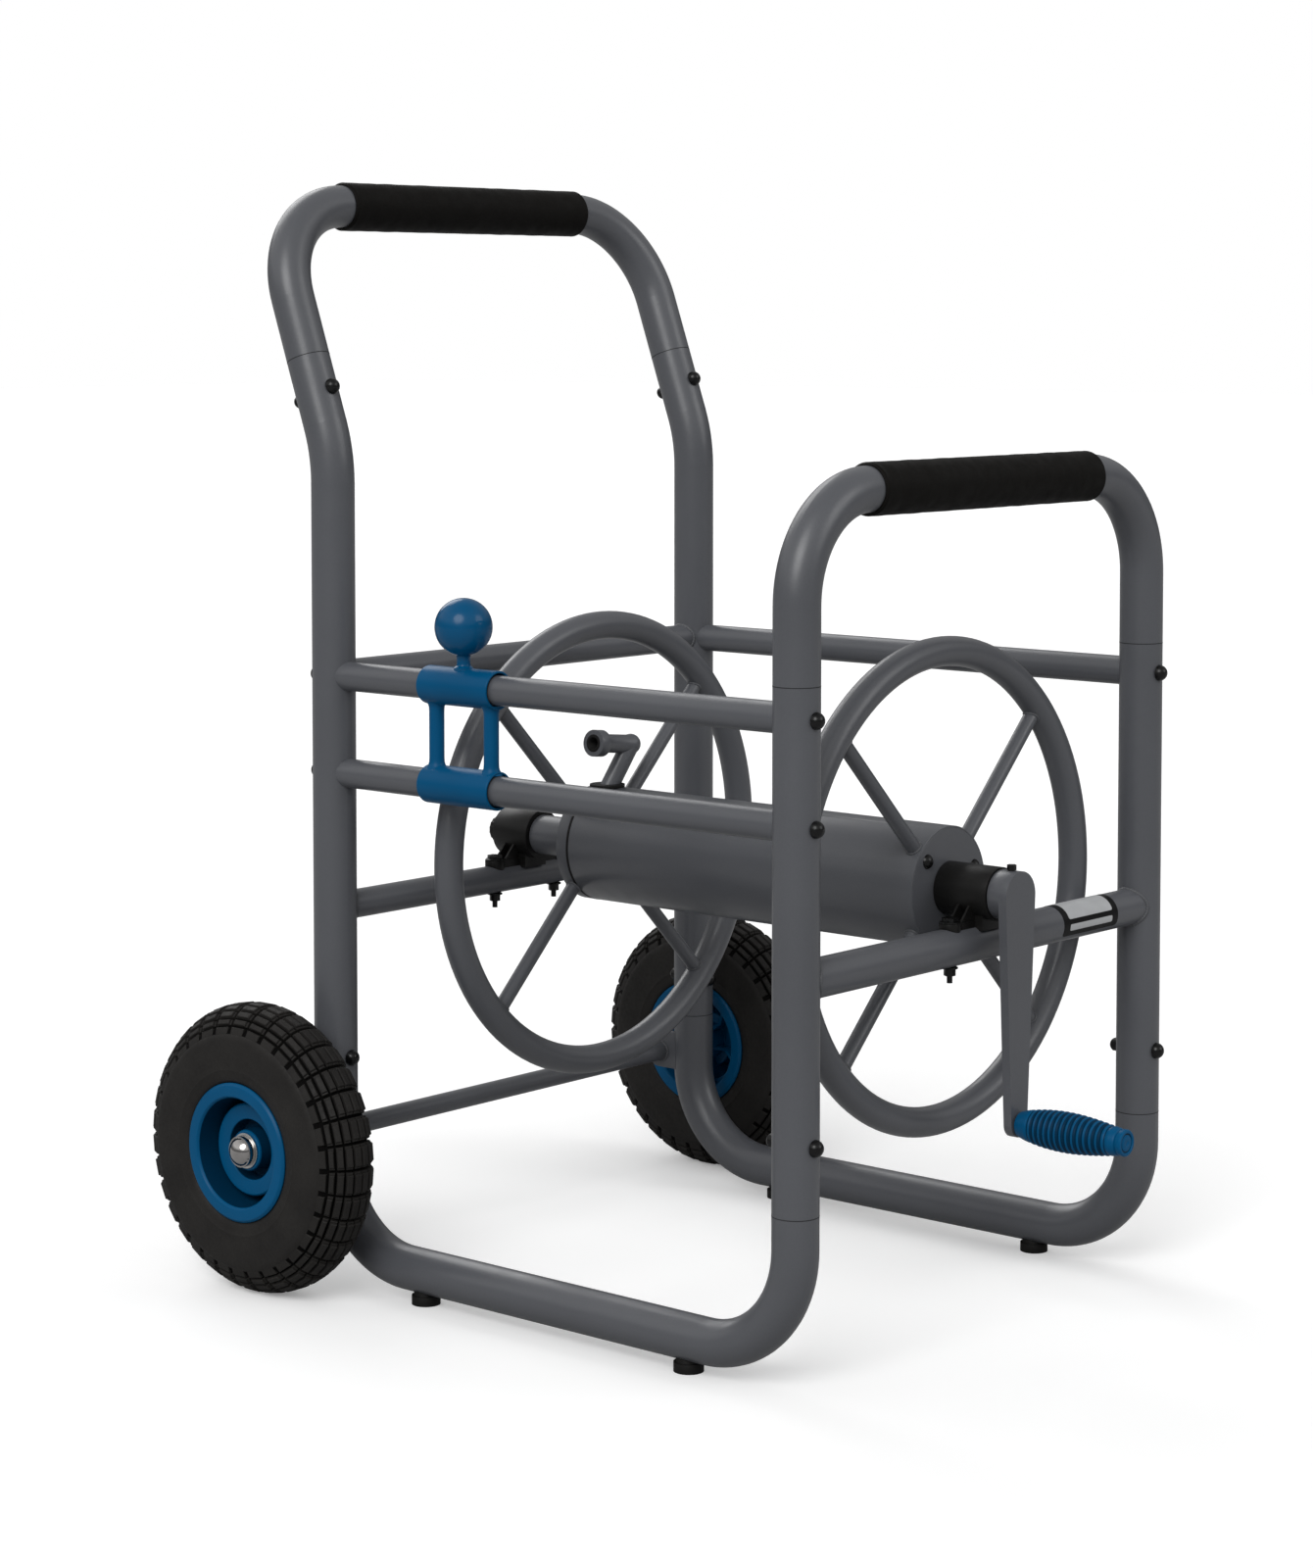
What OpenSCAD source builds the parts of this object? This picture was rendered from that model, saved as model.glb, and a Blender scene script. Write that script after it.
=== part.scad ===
// Garden hose reel cart: a tubular steel frame on two wheels and four feet, with a hose drum
// turned by a crank, and a hose guide that slides on two side rails. +Z is up, the crank faces -Y,
// the wheels and the tall handle are at +Y, and the origin is on the ground under the cart's middle.

/* [Frame] */
// Half the distance between the left and right posts
post_x = 243.5; // [236:0.5:270]
// Distance between the front and rear posts
post_depth = 517.5; // [500:0.5:560]
// Diameter of the frame tube
tube_d = 38.1; // [34:0.1:38.5]
// Wall of every tube
tube_wall = 1.5; // [1.2:0.1:2]
// Height of the bottom runners' axis above the ground
runner_z = 28; // [27:0.5:34]
// Bend radius of the bottom loops
loop_bend_r = 90; // [70:1:95]

/* [Handles] */
// Height of the front handle's axis
front_handle_z = 714; // [690:1:760]
// Bend radius of the front handle
front_bend_r = 88; // [60:1:90]
// Height at which the rear posts start to lean back
kink_z = 731.5; // [715:0.5:750]
// Lean of the rear handle from the vertical, in degrees
handle_tilt = 19.9; // [5:0.1:25]
// Length of the leaning part, along its slope, up to the axis of the rear grip
handle_reach = 232; // [215:1:260]
// Bend radius of the rear handle
rear_bend_r = 88; // [70:1:95]
// Outer diameter of the foam grips
grip_d = 43.8; // [42:0.1:48]

/* [Rails and crossbars] */
// Diameter of the side rails, the rear crossbars and the ring tubes
rail_d = 25.4; // [24:0.1:26]
// Height of the upper rails and the top rear crossbar
upper_rail_z = 538; // [530:1:545]
// Height of the lower left rail
lower_rail_z = 453; // [440:1:460]
// Diameter of the front crossbar
front_bar_d = 32; // [30:0.5:33]
// Height of the front crossbar
front_bar_z = 330.6; // [328:0.1:331]
// Height of the rear crossbar
rear_bar_z = 333.3; // [331:0.1:334]

/* [Reel] */
// Height of the reel's axis
reel_z = 372.6; // [372:0.1:376]
// Diameter of the drum
drum_d = 104; // [96:1:110]
// Radius of the rings, to the middle of their tube
ring_r = 198.3; // [185:0.1:200]
// Diameter of a spoke
spoke_d = 13; // [10:0.5:16]
// Distance from the front posts to the front ring
front_ring_y = 40; // [38:1:60]
// Distance from the front posts to the rear ring
rear_ring_y = 422.5; // [420:0.5:424]

/* [Crank] */
// Distance from the reel's axis to the crank grip's axis
crank_throw = 190; // [150:0.5:195]
// Distance from the front posts to the tip of the crank grip
grip_reach = 149; // [135:1:170]
// Largest diameter of the crank grip
crank_grip_d = 34; // [30:1:40]

/* [Hose guide] */
// Distance from the front posts to the middle of the guide at rest
guide_y = 360; // [80:1:430]
// Length of the guide's two sleeves
guide_length = 82; // [80:1:110]
// Diameter of the ball knob
knob_d = 49.4; // [40:0.2:54]

/* [Wheels] */
// Diameter of the tyres, which stand on the ground
tyre_d = 254; // [250:1:256]
// Width of a tyre
tyre_w = 63; // [62:1:68]
// Distance from the middle of the cart to the middle of a wheel
wheel_x = 307.5; // [306:0.5:325]
// Diameter of the axle rod
axle_d = 15; // [14:0.1:16]

/* [Hidden] */
$fn = 64;

steel_grey = [0.33, 0.34, 0.36];
guide_blue = [0, 0.31, 0.51];
part_black = [0.08, 0.08, 0.08];
tyre_black = [0.16, 0.15, 0.14];
bright_steel = [0.75, 0.75, 0.76];

tube_r = tube_d / 2;
rail_r = rail_d / 2;
front_bar_r = front_bar_d / 2;
drum_r = drum_d / 2;
axle_r = axle_d / 2;
tyre_r = tyre_d / 2;

// The axle runs in a tube behind the rear posts
axle_tube_r = axle_r + 1.5;
axle_back = tube_r + axle_tube_r;
axle_z = tyre_r;

// Front and rear posts, placed so that the cart's middle is at the origin
front_y = grip_reach - (grip_reach + post_depth + axle_back + tyre_r) / 2;
rear_y = front_y + post_depth;
axle_y = rear_y + axle_back;
mid_y = (front_y + rear_y) / 2;

// Joints between the frame's tubes: a narrowed spigot of one tube slides into the next
front_seam_z = 146;
rear_seam_z = 166;
handle_seam_z = 564;
tilt_seam = 88;
spigot_length = 60;
spigot_gap = 0.1;
loop_bolt_z = 202;
tilt_bolt = 55.5;
kink_bend_r = 150;

// Bolts
bolt_r = 3;
bolt_hole_r = 3.1;
head_r = 7;
head_height = 7.5;
insert_length = 22;

// Feet
foot_r = 12.5;
foot_inset = 110;
foot_screw_head_z = 2;

// Shaft and bearings
shaft_r = 15;
run_gap = 0.06;
sleeve_r = 22.5;
bearing_ear_r = 9;
bearing_bolt_r = 2.4;
bearing_bolt_x = 40;
bearing_top_z = 351;
front_bar_low = front_bar_z - front_bar_r;
rear_bar_low = rear_bar_z - rail_r;
front_sleeve = [-23, 30];
rear_sleeve = [495, 537];
rear_bar_y = post_depth;

// Drum
drum_front = 30.6;
drum_seam = 416;
drum_gap = 1.6;
drum_back = 430;
drum_wall = 1.5;
plate_thick = 4;
spoke_turns = [45, 135, 225, 315];
plate_bolt_r = 39;
plate_bolt_turns = [20, 140, 260];

// Crank
hub_r = 21;
hub_back = -23.6;
arm_back = -35;
arm_front = -43;
arm_foot_r = 11.3;
set_screw_y = -33.7;
crank_bore_r = 10;
pin_r = 5;
grip_start = -44;

// Outlet
outlet_y = 411.5;
outlet_r = 8.5;
outlet_lean = 28.8;
outlet_z = reel_z + 88;
outlet_tip = 51;
outlet_rise = 6;
collar_r = 12.2;
collar_length = 11;
water_r = 5.5;
swivel_bore_r = 9;
inlet_r = 12.2;

// Hose guide
guide_r = 16.5;
guide_post_r = 6.5;
guide_post_gap = 64;
knob_z = 589.2;
neck_r = 5.8;
stem_hole_r = 2.5;

// Wheels
rim_flange_r = 61;
rim_lip_r = 47.6;
rim_seat_r = 51;
rim_half_w = 31.5;
hub_outer_r = 18;
bush_r = 12.5;
hub_inner = -27;
hub_outer = 18;
disc_outer = 11;
disc_thick = 6;

// A bar along X, Y or Z between two ends
module bar_x(x0, x1, y, z, r) {
    translate([x0, y, z]) rotate([0, 90, 0]) cylinder(r = r, h = x1 - x0);
}
module bar_y(x, y0, y1, z, r) {
    translate([x, y0, z]) rotate([-90, 0, 0]) cylinder(r = r, h = y1 - y0);
}
module bar_z(x, y, z0, z1, r) {
    translate([x, y, z0]) cylinder(r = r, h = z1 - z0);
}

// A quarter bend in the XZ plane, from the +X direction to the +Z direction around its centre
module quarter_bend(bend_r, r) {
    rotate([90, 0, 0]) rotate_extrude(angle = 90) translate([bend_r, 0]) circle(r = r);
}

// A U in the XZ plane: a bar at the top and two legs that run down to leg_z
module u_bar(half_span, top_z, leg_z, bend_r, r) {
    bar_x(bend_r - half_span, half_span - bend_r, 0, top_z, r);
    for (side = [0, 1]) mirror([side, 0, 0]) {
        translate([half_span - bend_r, 0, top_z - bend_r]) quarter_bend(bend_r, r);
        bar_z(half_span, 0, leg_z, top_z - bend_r, r);
    }
}

// A U of tube, with narrowed spigots below its legs
module u_tube(half_span, top_z, leg_z, bend_r, end_z) {
    inner_r = tube_r - tube_wall;
    difference() {
        union() {
            u_bar(half_span, top_z, leg_z, bend_r, tube_r);
            for (x = [-half_span, half_span])
                bar_z(x, 0, end_z, leg_z, inner_r - spigot_gap);
        }
        u_bar(half_span, top_z, leg_z + tube_wall, bend_r, inner_r);
        for (x = [-half_span, half_span])
            bar_z(x, 0, end_z - 1, leg_z + tube_wall + 0.5, inner_r - spigot_gap - tube_wall);
    }
}

// Everything that is drilled through the posts and loops along Y
module post_bolt_holes(x) {
    for (y = [front_y, rear_y])
        bar_y(x, y - tube_r - 1, y + tube_r + 1, loop_bolt_z, bolt_hole_r);
    for (z = rail_heights(x), y = [front_y, rear_y])
        bar_y(x, y - tube_r - 1, y + tube_r + 1, z, bolt_hole_r);
}

function rail_heights(x) = x < 0 ? [upper_rail_z, lower_rail_z] : [upper_rail_z];

// Solid outlines of the posts, used to cope the ends of the tubes that meet them
module post_outlines() {
    for (x = [-post_x, post_x], y = [front_y, rear_y])
        bar_z(x, y, 120, 700, tube_r);
}

// One bottom loop: a runner with bends up to a front leg and a rear leg
module bottom_loop(x) {
    half_span = post_depth / 2;
    inner_r = tube_r - tube_wall;
    color(steel_grey) difference() {
        union() {
            translate([x, mid_y, 0]) rotate([0, 0, 90]) mirror([0, 0, 1])
                u_bar(half_span, -runner_z, -front_seam_z, loop_bend_r, tube_r);
            bar_z(x, rear_y, front_seam_z, rear_seam_z, tube_r);
            bar_z(x, front_y, front_seam_z, loop_bolt_z + 20, inner_r - spigot_gap);
            bar_z(x, rear_y, rear_seam_z, loop_bolt_z + 20, inner_r - spigot_gap);
        }
        translate([x, mid_y, 0]) rotate([0, 0, 90]) mirror([0, 0, 1])
            u_bar(half_span, -runner_z, 2 - front_seam_z, loop_bend_r, inner_r);
        bar_z(x, rear_y, front_seam_z - 3, rear_seam_z - 2, inner_r);
        for (y = [front_y, rear_y])
            bar_z(x, y, front_seam_z - 3, loop_bolt_z + 21, inner_r - spigot_gap - tube_wall);
        post_bolt_holes(x);
        foot_holes(x);
    }
}

module foot_holes(x) {
    for (y = foot_ys())
        bar_z(x, y, 0, runner_z, bolt_hole_r);
}

function foot_ys() = [front_y + foot_inset, rear_y - foot_inset];

// A straight front post
module front_post(x) {
    color(steel_grey) difference() {
        bar_z(x, front_y, front_seam_z, handle_seam_z, tube_r);
        bar_z(x, front_y, front_seam_z - 1, handle_seam_z + 1, tube_r - tube_wall);
        post_bolt_holes(x);
    }
}

// The rear post's solid shape: straight, then a gentle bend, then leaning back.
// Short collars, a hair wider than the tube, join the bend to the straight stretches.
module rear_post_bar(x, r, low_z, top_s) {
    kink_tangent = kink_bend_r * tan(handle_tilt / 2);
    bend_low_z = kink_z - kink_tangent;
    collar_r = r + 0.05;
    skip = 0.3;
    skip_angle = 0.12;
    bar_z(x, rear_y, low_z, bend_low_z - skip, r);
    bar_z(x, rear_y, bend_low_z - 1, bend_low_z + 1, collar_r);
    translate([x, rear_y + kink_bend_r, bend_low_z]) rotate([90, 0, -90]) rotate([0, 0, skip_angle])
        rotate_extrude(angle = handle_tilt - 2 * skip_angle) translate([kink_bend_r, 0]) circle(r = r);
    lean() {
        bar_z(x, 0, kink_tangent - 1, kink_tangent + 1, collar_r);
        bar_z(x, 0, kink_tangent + skip, top_s, r);
    }
}

// Moves a shape drawn around the kink onto the slope of the rear handle
module lean() {
    translate([0, rear_y, kink_z]) rotate([-handle_tilt, 0, 0]) children();
}

module tilt_bolt_hole(x) {
    lean() bar_y(x, -tube_r - 1, tube_r + 1, tilt_bolt, bolt_hole_r);
}

module rear_post(x) {
    color(steel_grey) difference() {
        rear_post_bar(x, tube_r, rear_seam_z, tilt_seam);
        rear_post_bar(x, tube_r - tube_wall, rear_seam_z - 1, tilt_seam + 1);
        post_bolt_holes(x);
        tilt_bolt_hole(x);
    }
}

module left_bottom_loop() { bottom_loop(-post_x); }
module right_bottom_loop() { bottom_loop(post_x); }
module front_left_post() { front_post(-post_x); }
module front_right_post() { front_post(post_x); }
module rear_left_post() { rear_post(-post_x); }
module rear_right_post() { rear_post(post_x); }

// A tube between the left and right posts, coped to fit them
module cross_tube(y, z, r, wall) {
    color(steel_grey) difference() {
        bar_x(-post_x, post_x, y, z, r);
        bar_x(-post_x - 1, post_x + 1, y, z, r - wall);
        post_outlines();
        children();
    }
}

module front_crossbar() {
    cross_tube(front_y, front_bar_z, front_bar_r, tube_wall) bearing_bolt_holes(front_y, front_bar_z);
}

module rear_top_crossbar() {
    cross_tube(rear_y, upper_rail_z, rail_r, tube_wall);
}

module rear_crossbar() {
    cross_tube(rear_y, rear_bar_z, rail_r, tube_wall) bearing_bolt_holes(rear_y, rear_bar_z);
}

// The axle tube touches the backs of the posts
module axle_tube() {
    reach = post_x + tube_r;
    color(steel_grey) difference() {
        bar_x(-reach, reach, axle_y, axle_z, axle_tube_r);
        bar_x(-reach - 1, reach + 1, axle_y, axle_z, axle_r + 0.1);
        bar_z(-post_x, rear_y, 0, 200, tube_r);
        bar_z(post_x, rear_y, 0, 200, tube_r);
    }
}

// Plates welded to the posts, with a hole that holds the axle tube
module axle_brackets() {
    thick = 5;
    inset = 17;
    corner_r = 9;
    low_z = 111;
    high_z = 148;
    back_y = axle_y + axle_tube_r + 4;
    color(steel_grey) both_sides() difference() {
        translate([post_x - inset, 0, 0]) rotate([90, 0, 90]) linear_extrude(height = thick) union() {
            translate([rear_y, low_z]) square([back_y - corner_r - rear_y, high_z - low_z]);
            translate([rear_y, low_z + corner_r]) square([back_y - rear_y, high_z - low_z - 2 * corner_r]);
            for (z = [low_z + corner_r, high_z - corner_r])
                translate([back_y - corner_r, z]) circle(r = corner_r);
        }
        bar_z(post_x, rear_y, low_z - 1, high_z + 1, tube_r);
        bar_x(0, post_x, axle_y, axle_z, axle_tube_r);
    }
}

module bearing_bolt_holes(y, z) {
    for (x = [-bearing_bolt_x, bearing_bolt_x])
        bar_z(x, y, z - 25, z + 40, bolt_hole_r);
}

module axle_rod() {
    color(bright_steel) bar_x(-axle_end(), axle_end(), axle_y, axle_z, axle_r);
}

function axle_end() = wheel_x + hub_outer + 7;

module front_handle() {
    color(steel_grey) difference() {
        translate([0, front_y, 0])
            u_tube(post_x, front_handle_z, handle_seam_z, front_bend_r, handle_seam_z - spigot_length);
        for (x = [-post_x, post_x]) post_bolt_holes(x);
    }
}

module rear_handle() {
    color(steel_grey) difference() {
        lean() u_tube(post_x, handle_reach, tilt_seam, rear_bend_r, tilt_seam - 50);
        for (x = [-post_x, post_x]) tilt_bolt_hole(x);
    }
}

// A foam sleeve around a handle's straight bar
module foam_sleeve(half_length) {
    color(part_black) rotate([0, 90, 0]) difference() {
        cylinder(r = grip_d / 2, h = 2 * half_length, center = true);
        cylinder(r = tube_r + 0.05, h = 2 * half_length + 2, center = true);
    }
}

module front_grip() {
    translate([0, front_y, front_handle_z]) foam_sleeve(post_x - front_bend_r);
}

module rear_grip() {
    lean() translate([0, 0, handle_reach]) foam_sleeve(post_x - rear_bend_r);
}

// A rail along one side, coped to the posts
module side_rail(x, z) {
    color(steel_grey) difference() {
        bar_y(x, front_y, rear_y, z, rail_r);
        bar_y(x, front_y - 1, rear_y + 1, z, rail_r - tube_wall);
        post_outlines();
    }
}

module left_upper_rail() { side_rail(-post_x, upper_rail_z); }
module left_lower_rail() { side_rail(-post_x, lower_rail_z); }
module right_rail() { side_rail(post_x, upper_rail_z); }

// Repeats a front fitting at both ends of all three rails
module at_rail_ends() {
    for (x = [-post_x, post_x], z = rail_heights(x)) {
        translate([x, front_y, z]) children();
        translate([x, rear_y, z]) mirror([0, 1, 0]) children();
    }
}

module rail_inserts() {
    color(part_black) at_rail_ends() difference() {
        bar_y(0, tube_r + 0.5, tube_r + insert_length, 0, rail_r - tube_wall - 0.05);
        bar_y(0, tube_r - 1, tube_r + insert_length + 1, 0, bolt_r + 0.05);
    }
}

// A domed bolt head at the origin, looking towards -Y
module dome_head(r = head_r, h = head_height) {
    sphere_r = (r * r + h * h) / (2 * h);
    intersection() {
        bar_y(0, -h, 0, 0, r);
        translate([0, sphere_r - h, 0]) sphere(r = sphere_r);
    }
}

module rail_bolts() {
    color(part_black) at_rail_ends() {
        translate([0, -tube_r, 0]) dome_head();
        bar_y(0, -tube_r, tube_r + insert_length - 4, 0, bolt_r);
    }
}

// Repeats a fitting on the six bolts that pin the loops and the rear handle to the posts
module at_frame_bolts() {
    for (x = [-post_x, post_x]) {
        for (y = [front_y, rear_y]) translate([x, y, loop_bolt_z]) children();
        lean() translate([x, 0, tilt_bolt]) children();
    }
}

module frame_bolts() {
    color(part_black) at_frame_bolts() {
        translate([0, -tube_r, 0]) dome_head();
        bar_y(0, -tube_r, tube_r + 5, 0, bolt_r);
    }
}

module frame_nuts() {
    color(part_black) at_frame_bolts() difference() {
        translate([0, tube_r, 0]) mirror([0, 1, 0]) dome_head(5.8, 9);
        bar_y(0, tube_r - 1, tube_r + 5.2, 0, bolt_r + 0.02);
    }
}

// A rubber foot under a runner, shaped to the tube
module foot(x, y) {
    difference() {
        union() {
            bar_z(x, y, 0, runner_z - tube_r - 1, foot_r);
            bar_z(x, y, 0, runner_z - tube_r + 3.5, foot_r - 2);
        }
        bar_y(x, y - foot_r - 1, y + foot_r + 1, runner_z, tube_r);
        bar_z(x, y, -1, foot_screw_head_z + 4, head_r + 0.3);
        bar_z(x, y, -1, runner_z, bolt_hole_r);
    }
}

module feet() {
    color(part_black) for (x = [-post_x, post_x], y = foot_ys()) foot(x, y);
}

module foot_screws() {
    color(bright_steel) for (x = [-post_x, post_x], y = foot_ys()) {
        bar_z(x, y, foot_screw_head_z, foot_screw_head_z + 4, head_r);
        bar_z(x, y, foot_screw_head_z, runner_z - tube_r + 6, bolt_r);
    }
}

// A bearing block: a sleeve around the shaft, standing on a base that sits on a crossbar
module bearing(y, sleeve, bar_z_axis, bar_r) {
    strap_half = 7.2;
    color(part_black) difference() {
        union() {
            bar_y(0, front_y + sleeve[0], front_y + sleeve[1], reel_z, sleeve_r);
            translate([-bearing_bolt_x, y - strap_half, bearing_top_z - 9])
                cube([2 * bearing_bolt_x, 2 * strap_half, 8.6]);
            for (x = [-bearing_bolt_x, bearing_bolt_x])
                bar_z(x, y, bearing_top_z - 9, bearing_top_z, bearing_ear_r);
            translate([-14, y - 14, bearing_top_z - 9]) cube([28, 28, 18]);
        }
        bar_y(0, front_y + sleeve[0] - 1, front_y + sleeve[1] + 1, reel_z, shaft_r + run_gap);
        bar_x(-post_x, post_x, y, bar_z_axis, bar_r);
        bearing_bolt_holes(y, bar_z_axis);
    }
}

module front_bearing() { bearing(front_y, front_sleeve, front_bar_z, front_bar_r); }
module rear_bearing() { bearing(rear_y, rear_sleeve, rear_bar_z, rail_r); }

module bearing_bolt(x, y, low_z) {
    translate([x, y, bearing_top_z]) cylinder(r = head_r, h = 4.5, $fn = 6);
    bar_z(x, y, low_z - 13.5, bearing_top_z, bearing_bolt_r);
}

module bearing_nut(x, y, low_z) {
    difference() {
        union() {
            bar_z(x, y, low_z - 1.6, low_z - 0.1, 7);
            translate([x, y, low_z - 7.5]) cylinder(r = 5.2, h = 6, $fn = 6);
        }
        bar_z(x, y, low_z - 10, low_z + 1, bearing_bolt_r + 0.02);
    }
}

module bearing_bolts() {
    color(part_black) for (x = [-bearing_bolt_x, bearing_bolt_x]) {
        bearing_bolt(x, front_y, front_bar_low);
        bearing_bolt(x, rear_y, rear_bar_low);
    }
}

module bearing_nuts() {
    color(part_black) for (x = [-bearing_bolt_x, bearing_bolt_x]) {
        bearing_nut(x, front_y, front_bar_low);
        bearing_nut(x, rear_y, rear_bar_low);
    }
}

// A plain label wrapped over the front of the front crossbar
module blank_label() {
    label_x = [104, 186];
    color("silver") translate([label_x[0], front_y, front_bar_z]) rotate([0, 90, 0]) rotate([0, 0, 155])
        rotate_extrude(angle = 150) translate([front_bar_r + 0.05, 0])
            square([0.35, label_x[1] - label_x[0]]);
}

// Repeats a fitting drawn for the right-hand wheel on both sides
module both_sides() {
    for (side = [0, 1]) mirror([side, 0, 0]) children();
}

module axle_spacers() {
    color(part_black) both_sides() difference() {
        bar_x(post_x + tube_r + 0.1, wheel_x + hub_inner - 1.8, axle_y, axle_z, 11);
        bar_x(post_x, wheel_x, axle_y, axle_z, axle_r + 0.1);
    }
}

module axle_washers() {
    color(bright_steel) both_sides() for (x = [wheel_x + hub_inner - 1.7, wheel_x + hub_outer + 0.3])
        difference() {
            bar_x(x, x + 1.4, axle_y, axle_z, 15.5);
            bar_x(x - 1, x + 3, axle_y, axle_z, axle_r + 0.1);
        }
}

// Domed push-on caps that hold the wheels on the axle
module axle_cap_nuts() {
    cap_x = wheel_x + hub_outer + 1.8;
    color(bright_steel) both_sides() difference() {
        union() {
            bar_x(cap_x, cap_x + 6, axle_y, axle_z, 13.5);
            translate([cap_x + 6, axle_y, axle_z]) rotate([0, 0, 90]) dome_head(12.4, 7);
        }
        bar_x(cap_x - 1, axle_end() + 0.3, axle_y, axle_z, axle_r + 0.02);
    }
}

// A ring of material around the reel's axis, between two distances from the front posts
module reel_ring(y0, y1, outer, inner) {
    difference() {
        bar_y(0, front_y + y0, front_y + y1, reel_z, outer);
        bar_y(0, front_y + y0 - 1, front_y + y1 + 1, reel_z, inner);
    }
}

// The drum's tube, with a hole where the outlet pipe comes out
module drum() {
    color(steel_grey) difference() {
        reel_ring(drum_front, drum_seam, drum_r, drum_r - drum_wall);
        outlet_riser(outlet_r + 0.3);
    }
}

module plate_bolt_holes(r) {
    for (turn = plate_bolt_turns)
        translate([plate_bolt_r * cos(turn), 0, plate_bolt_r * sin(turn)])
            bar_y(0, front_y + drum_front - 1, front_y + drum_front + plate_thick + 9, reel_z, r);
}

// The front end of the drum: a disc set into the tube, with a collar around the shaft
module front_end_plate() {
    color(steel_grey) difference() {
        union() {
            reel_ring(drum_front, drum_front + plate_thick, drum_r - drum_wall - 0.05, shaft_r + 0.02);
            reel_ring(drum_front + plate_thick, drum_front + 24, shaft_r + 6, shaft_r + 0.02);
        }
        plate_bolt_holes(bolt_hole_r);
    }
}

module plate_bolts() {
    color(part_black) for (turn = plate_bolt_turns)
        translate([plate_bolt_r * cos(turn), front_y + drum_front, reel_z + plate_bolt_r * sin(turn)]) {
            dome_head(6.3, 4.4);
            bar_y(0, 0, plate_thick + 8, 0, bolt_r);
        }
}

// The rear end of the drum: a separate cap, whose rim leaves a dark seam, and a collar on the shaft
module rear_end_cap() {
    rim_start = drum_seam + drum_gap;
    color(steel_grey) difference() {
        union() {
            bar_y(0, front_y + rim_start, front_y + drum_back, reel_z, drum_r);
            bar_y(0, front_y + drum_seam - 12, front_y + rim_start, reel_z, drum_r - drum_wall - 0.05);
        }
        bar_y(0, front_y + drum_seam - 13, front_y + drum_back - plate_thick, reel_z, drum_r - 6);
        bar_y(0, front_y + drum_seam, front_y + drum_back + 1, reel_z, shaft_r + 3 + 0.02);
        outlet_riser(outlet_r + 0.3);
    }
}

// A ring of tube, with a vent hole behind each spoke's end
module ring(y) {
    color(steel_grey) translate([0, front_y + y, reel_z]) difference() {
        rotate([90, 0, 0]) rotate_extrude($fn = 96) translate([ring_r, 0]) circle(r = rail_r);
        rotate([90, 0, 0]) rotate_extrude($fn = 96) translate([ring_r, 0]) circle(r = rail_r - tube_wall);
        for (turn = spoke_turns) rotate([0, turn, 0]) bar_z(0, 0, ring_r - rail_r - 2, ring_r, 2.5);
    }
}

module front_ring() { ring(front_ring_y); }
module rear_ring() { ring(rear_ring_y); }

// Four spokes in a cross, from the drum out to a ring
module spokes(y) {
    color(steel_grey) translate([0, front_y + y, reel_z]) difference() {
        for (turn = spoke_turns) rotate([0, turn, 0])
            bar_z(0, 0, drum_r - 3, ring_r, spoke_d / 2);
        rotate([90, 0, 0]) cylinder(r = drum_r, h = spoke_d + 2, center = true);
        rotate([90, 0, 0]) rotate_extrude($fn = 96) translate([ring_r, 0]) circle(r = rail_r);
    }
}

module front_spokes() { spokes(front_ring_y); }
module rear_spokes() { spokes(rear_ring_y); }

// The front shaft turns in the front bearing, and its narrow end takes the crank
module front_shaft() {
    color(bright_steel) {
        bar_y(0, front_y + hub_back, front_y + drum_front + 24, reel_z, shaft_r);
        bar_y(0, front_y + arm_front + 1, front_y + hub_back, reel_z, crank_bore_r);
    }
}

// The rear shaft is a pipe: water runs through it to the outlet
module rear_shaft() {
    shoulder_end = rear_sleeve[0] - 0.6;
    pipe_end = rear_sleeve[1] + 8.4;
    color(steel_grey) difference() {
        union() {
            bar_y(0, front_y + drum_back - plate_thick, front_y + shoulder_end, reel_z, shaft_r + 3);
            bar_y(0, front_y + outlet_y - 16, front_y + drum_back - plate_thick, reel_z, shaft_r + 2);
            bar_y(0, front_y + shoulder_end, front_y + rear_sleeve[1] + 1, reel_z, shaft_r);
            bar_y(0, front_y + rear_sleeve[1], front_y + pipe_end, reel_z, swivel_bore_r);
        }
        bar_y(0, front_y + outlet_y - 8, front_y + pipe_end + 1, reel_z, water_r);
        outlet_riser(water_r);
    }
}

// The slanting stretch of the outlet, from its elbow down into the shaft
module outlet_riser(r) {
    rise = outlet_z - reel_z - drum_r;
    slope = atan(outlet_lean / rise);
    translate([outlet_lean, front_y + outlet_y, outlet_z]) rotate([0, slope + 180, 0])
        cylinder(r = r, h = norm([outlet_lean, rise]) + 48);
}

// A bar along the outlet's upper stretch, which points to the left and rises a little
module outlet_bar(start, end, r) {
    translate([outlet_lean, front_y + outlet_y, outlet_z]) rotate([0, outlet_rise - 90, 0])
        translate([0, 0, start]) cylinder(r = r, h = end - start);
}

module outlet_pipe() {
    color(steel_grey) difference() {
        union() {
            outlet_riser(outlet_r);
            translate([outlet_lean, front_y + outlet_y, outlet_z]) sphere(r = outlet_r + 0.9);
            outlet_bar(0, outlet_tip - 1, outlet_r);
            outlet_bar(outlet_tip - collar_length, outlet_tip, collar_r);
        }
        outlet_riser(water_r);
        translate([outlet_lean, front_y + outlet_y, outlet_z]) sphere(r = water_r + 0.9);
        outlet_bar(0, outlet_tip + 1, water_r);
        bar_y(0, front_y + outlet_y - 30, front_y + outlet_y + 30, reel_z, shaft_r + 2);
    }
}

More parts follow.
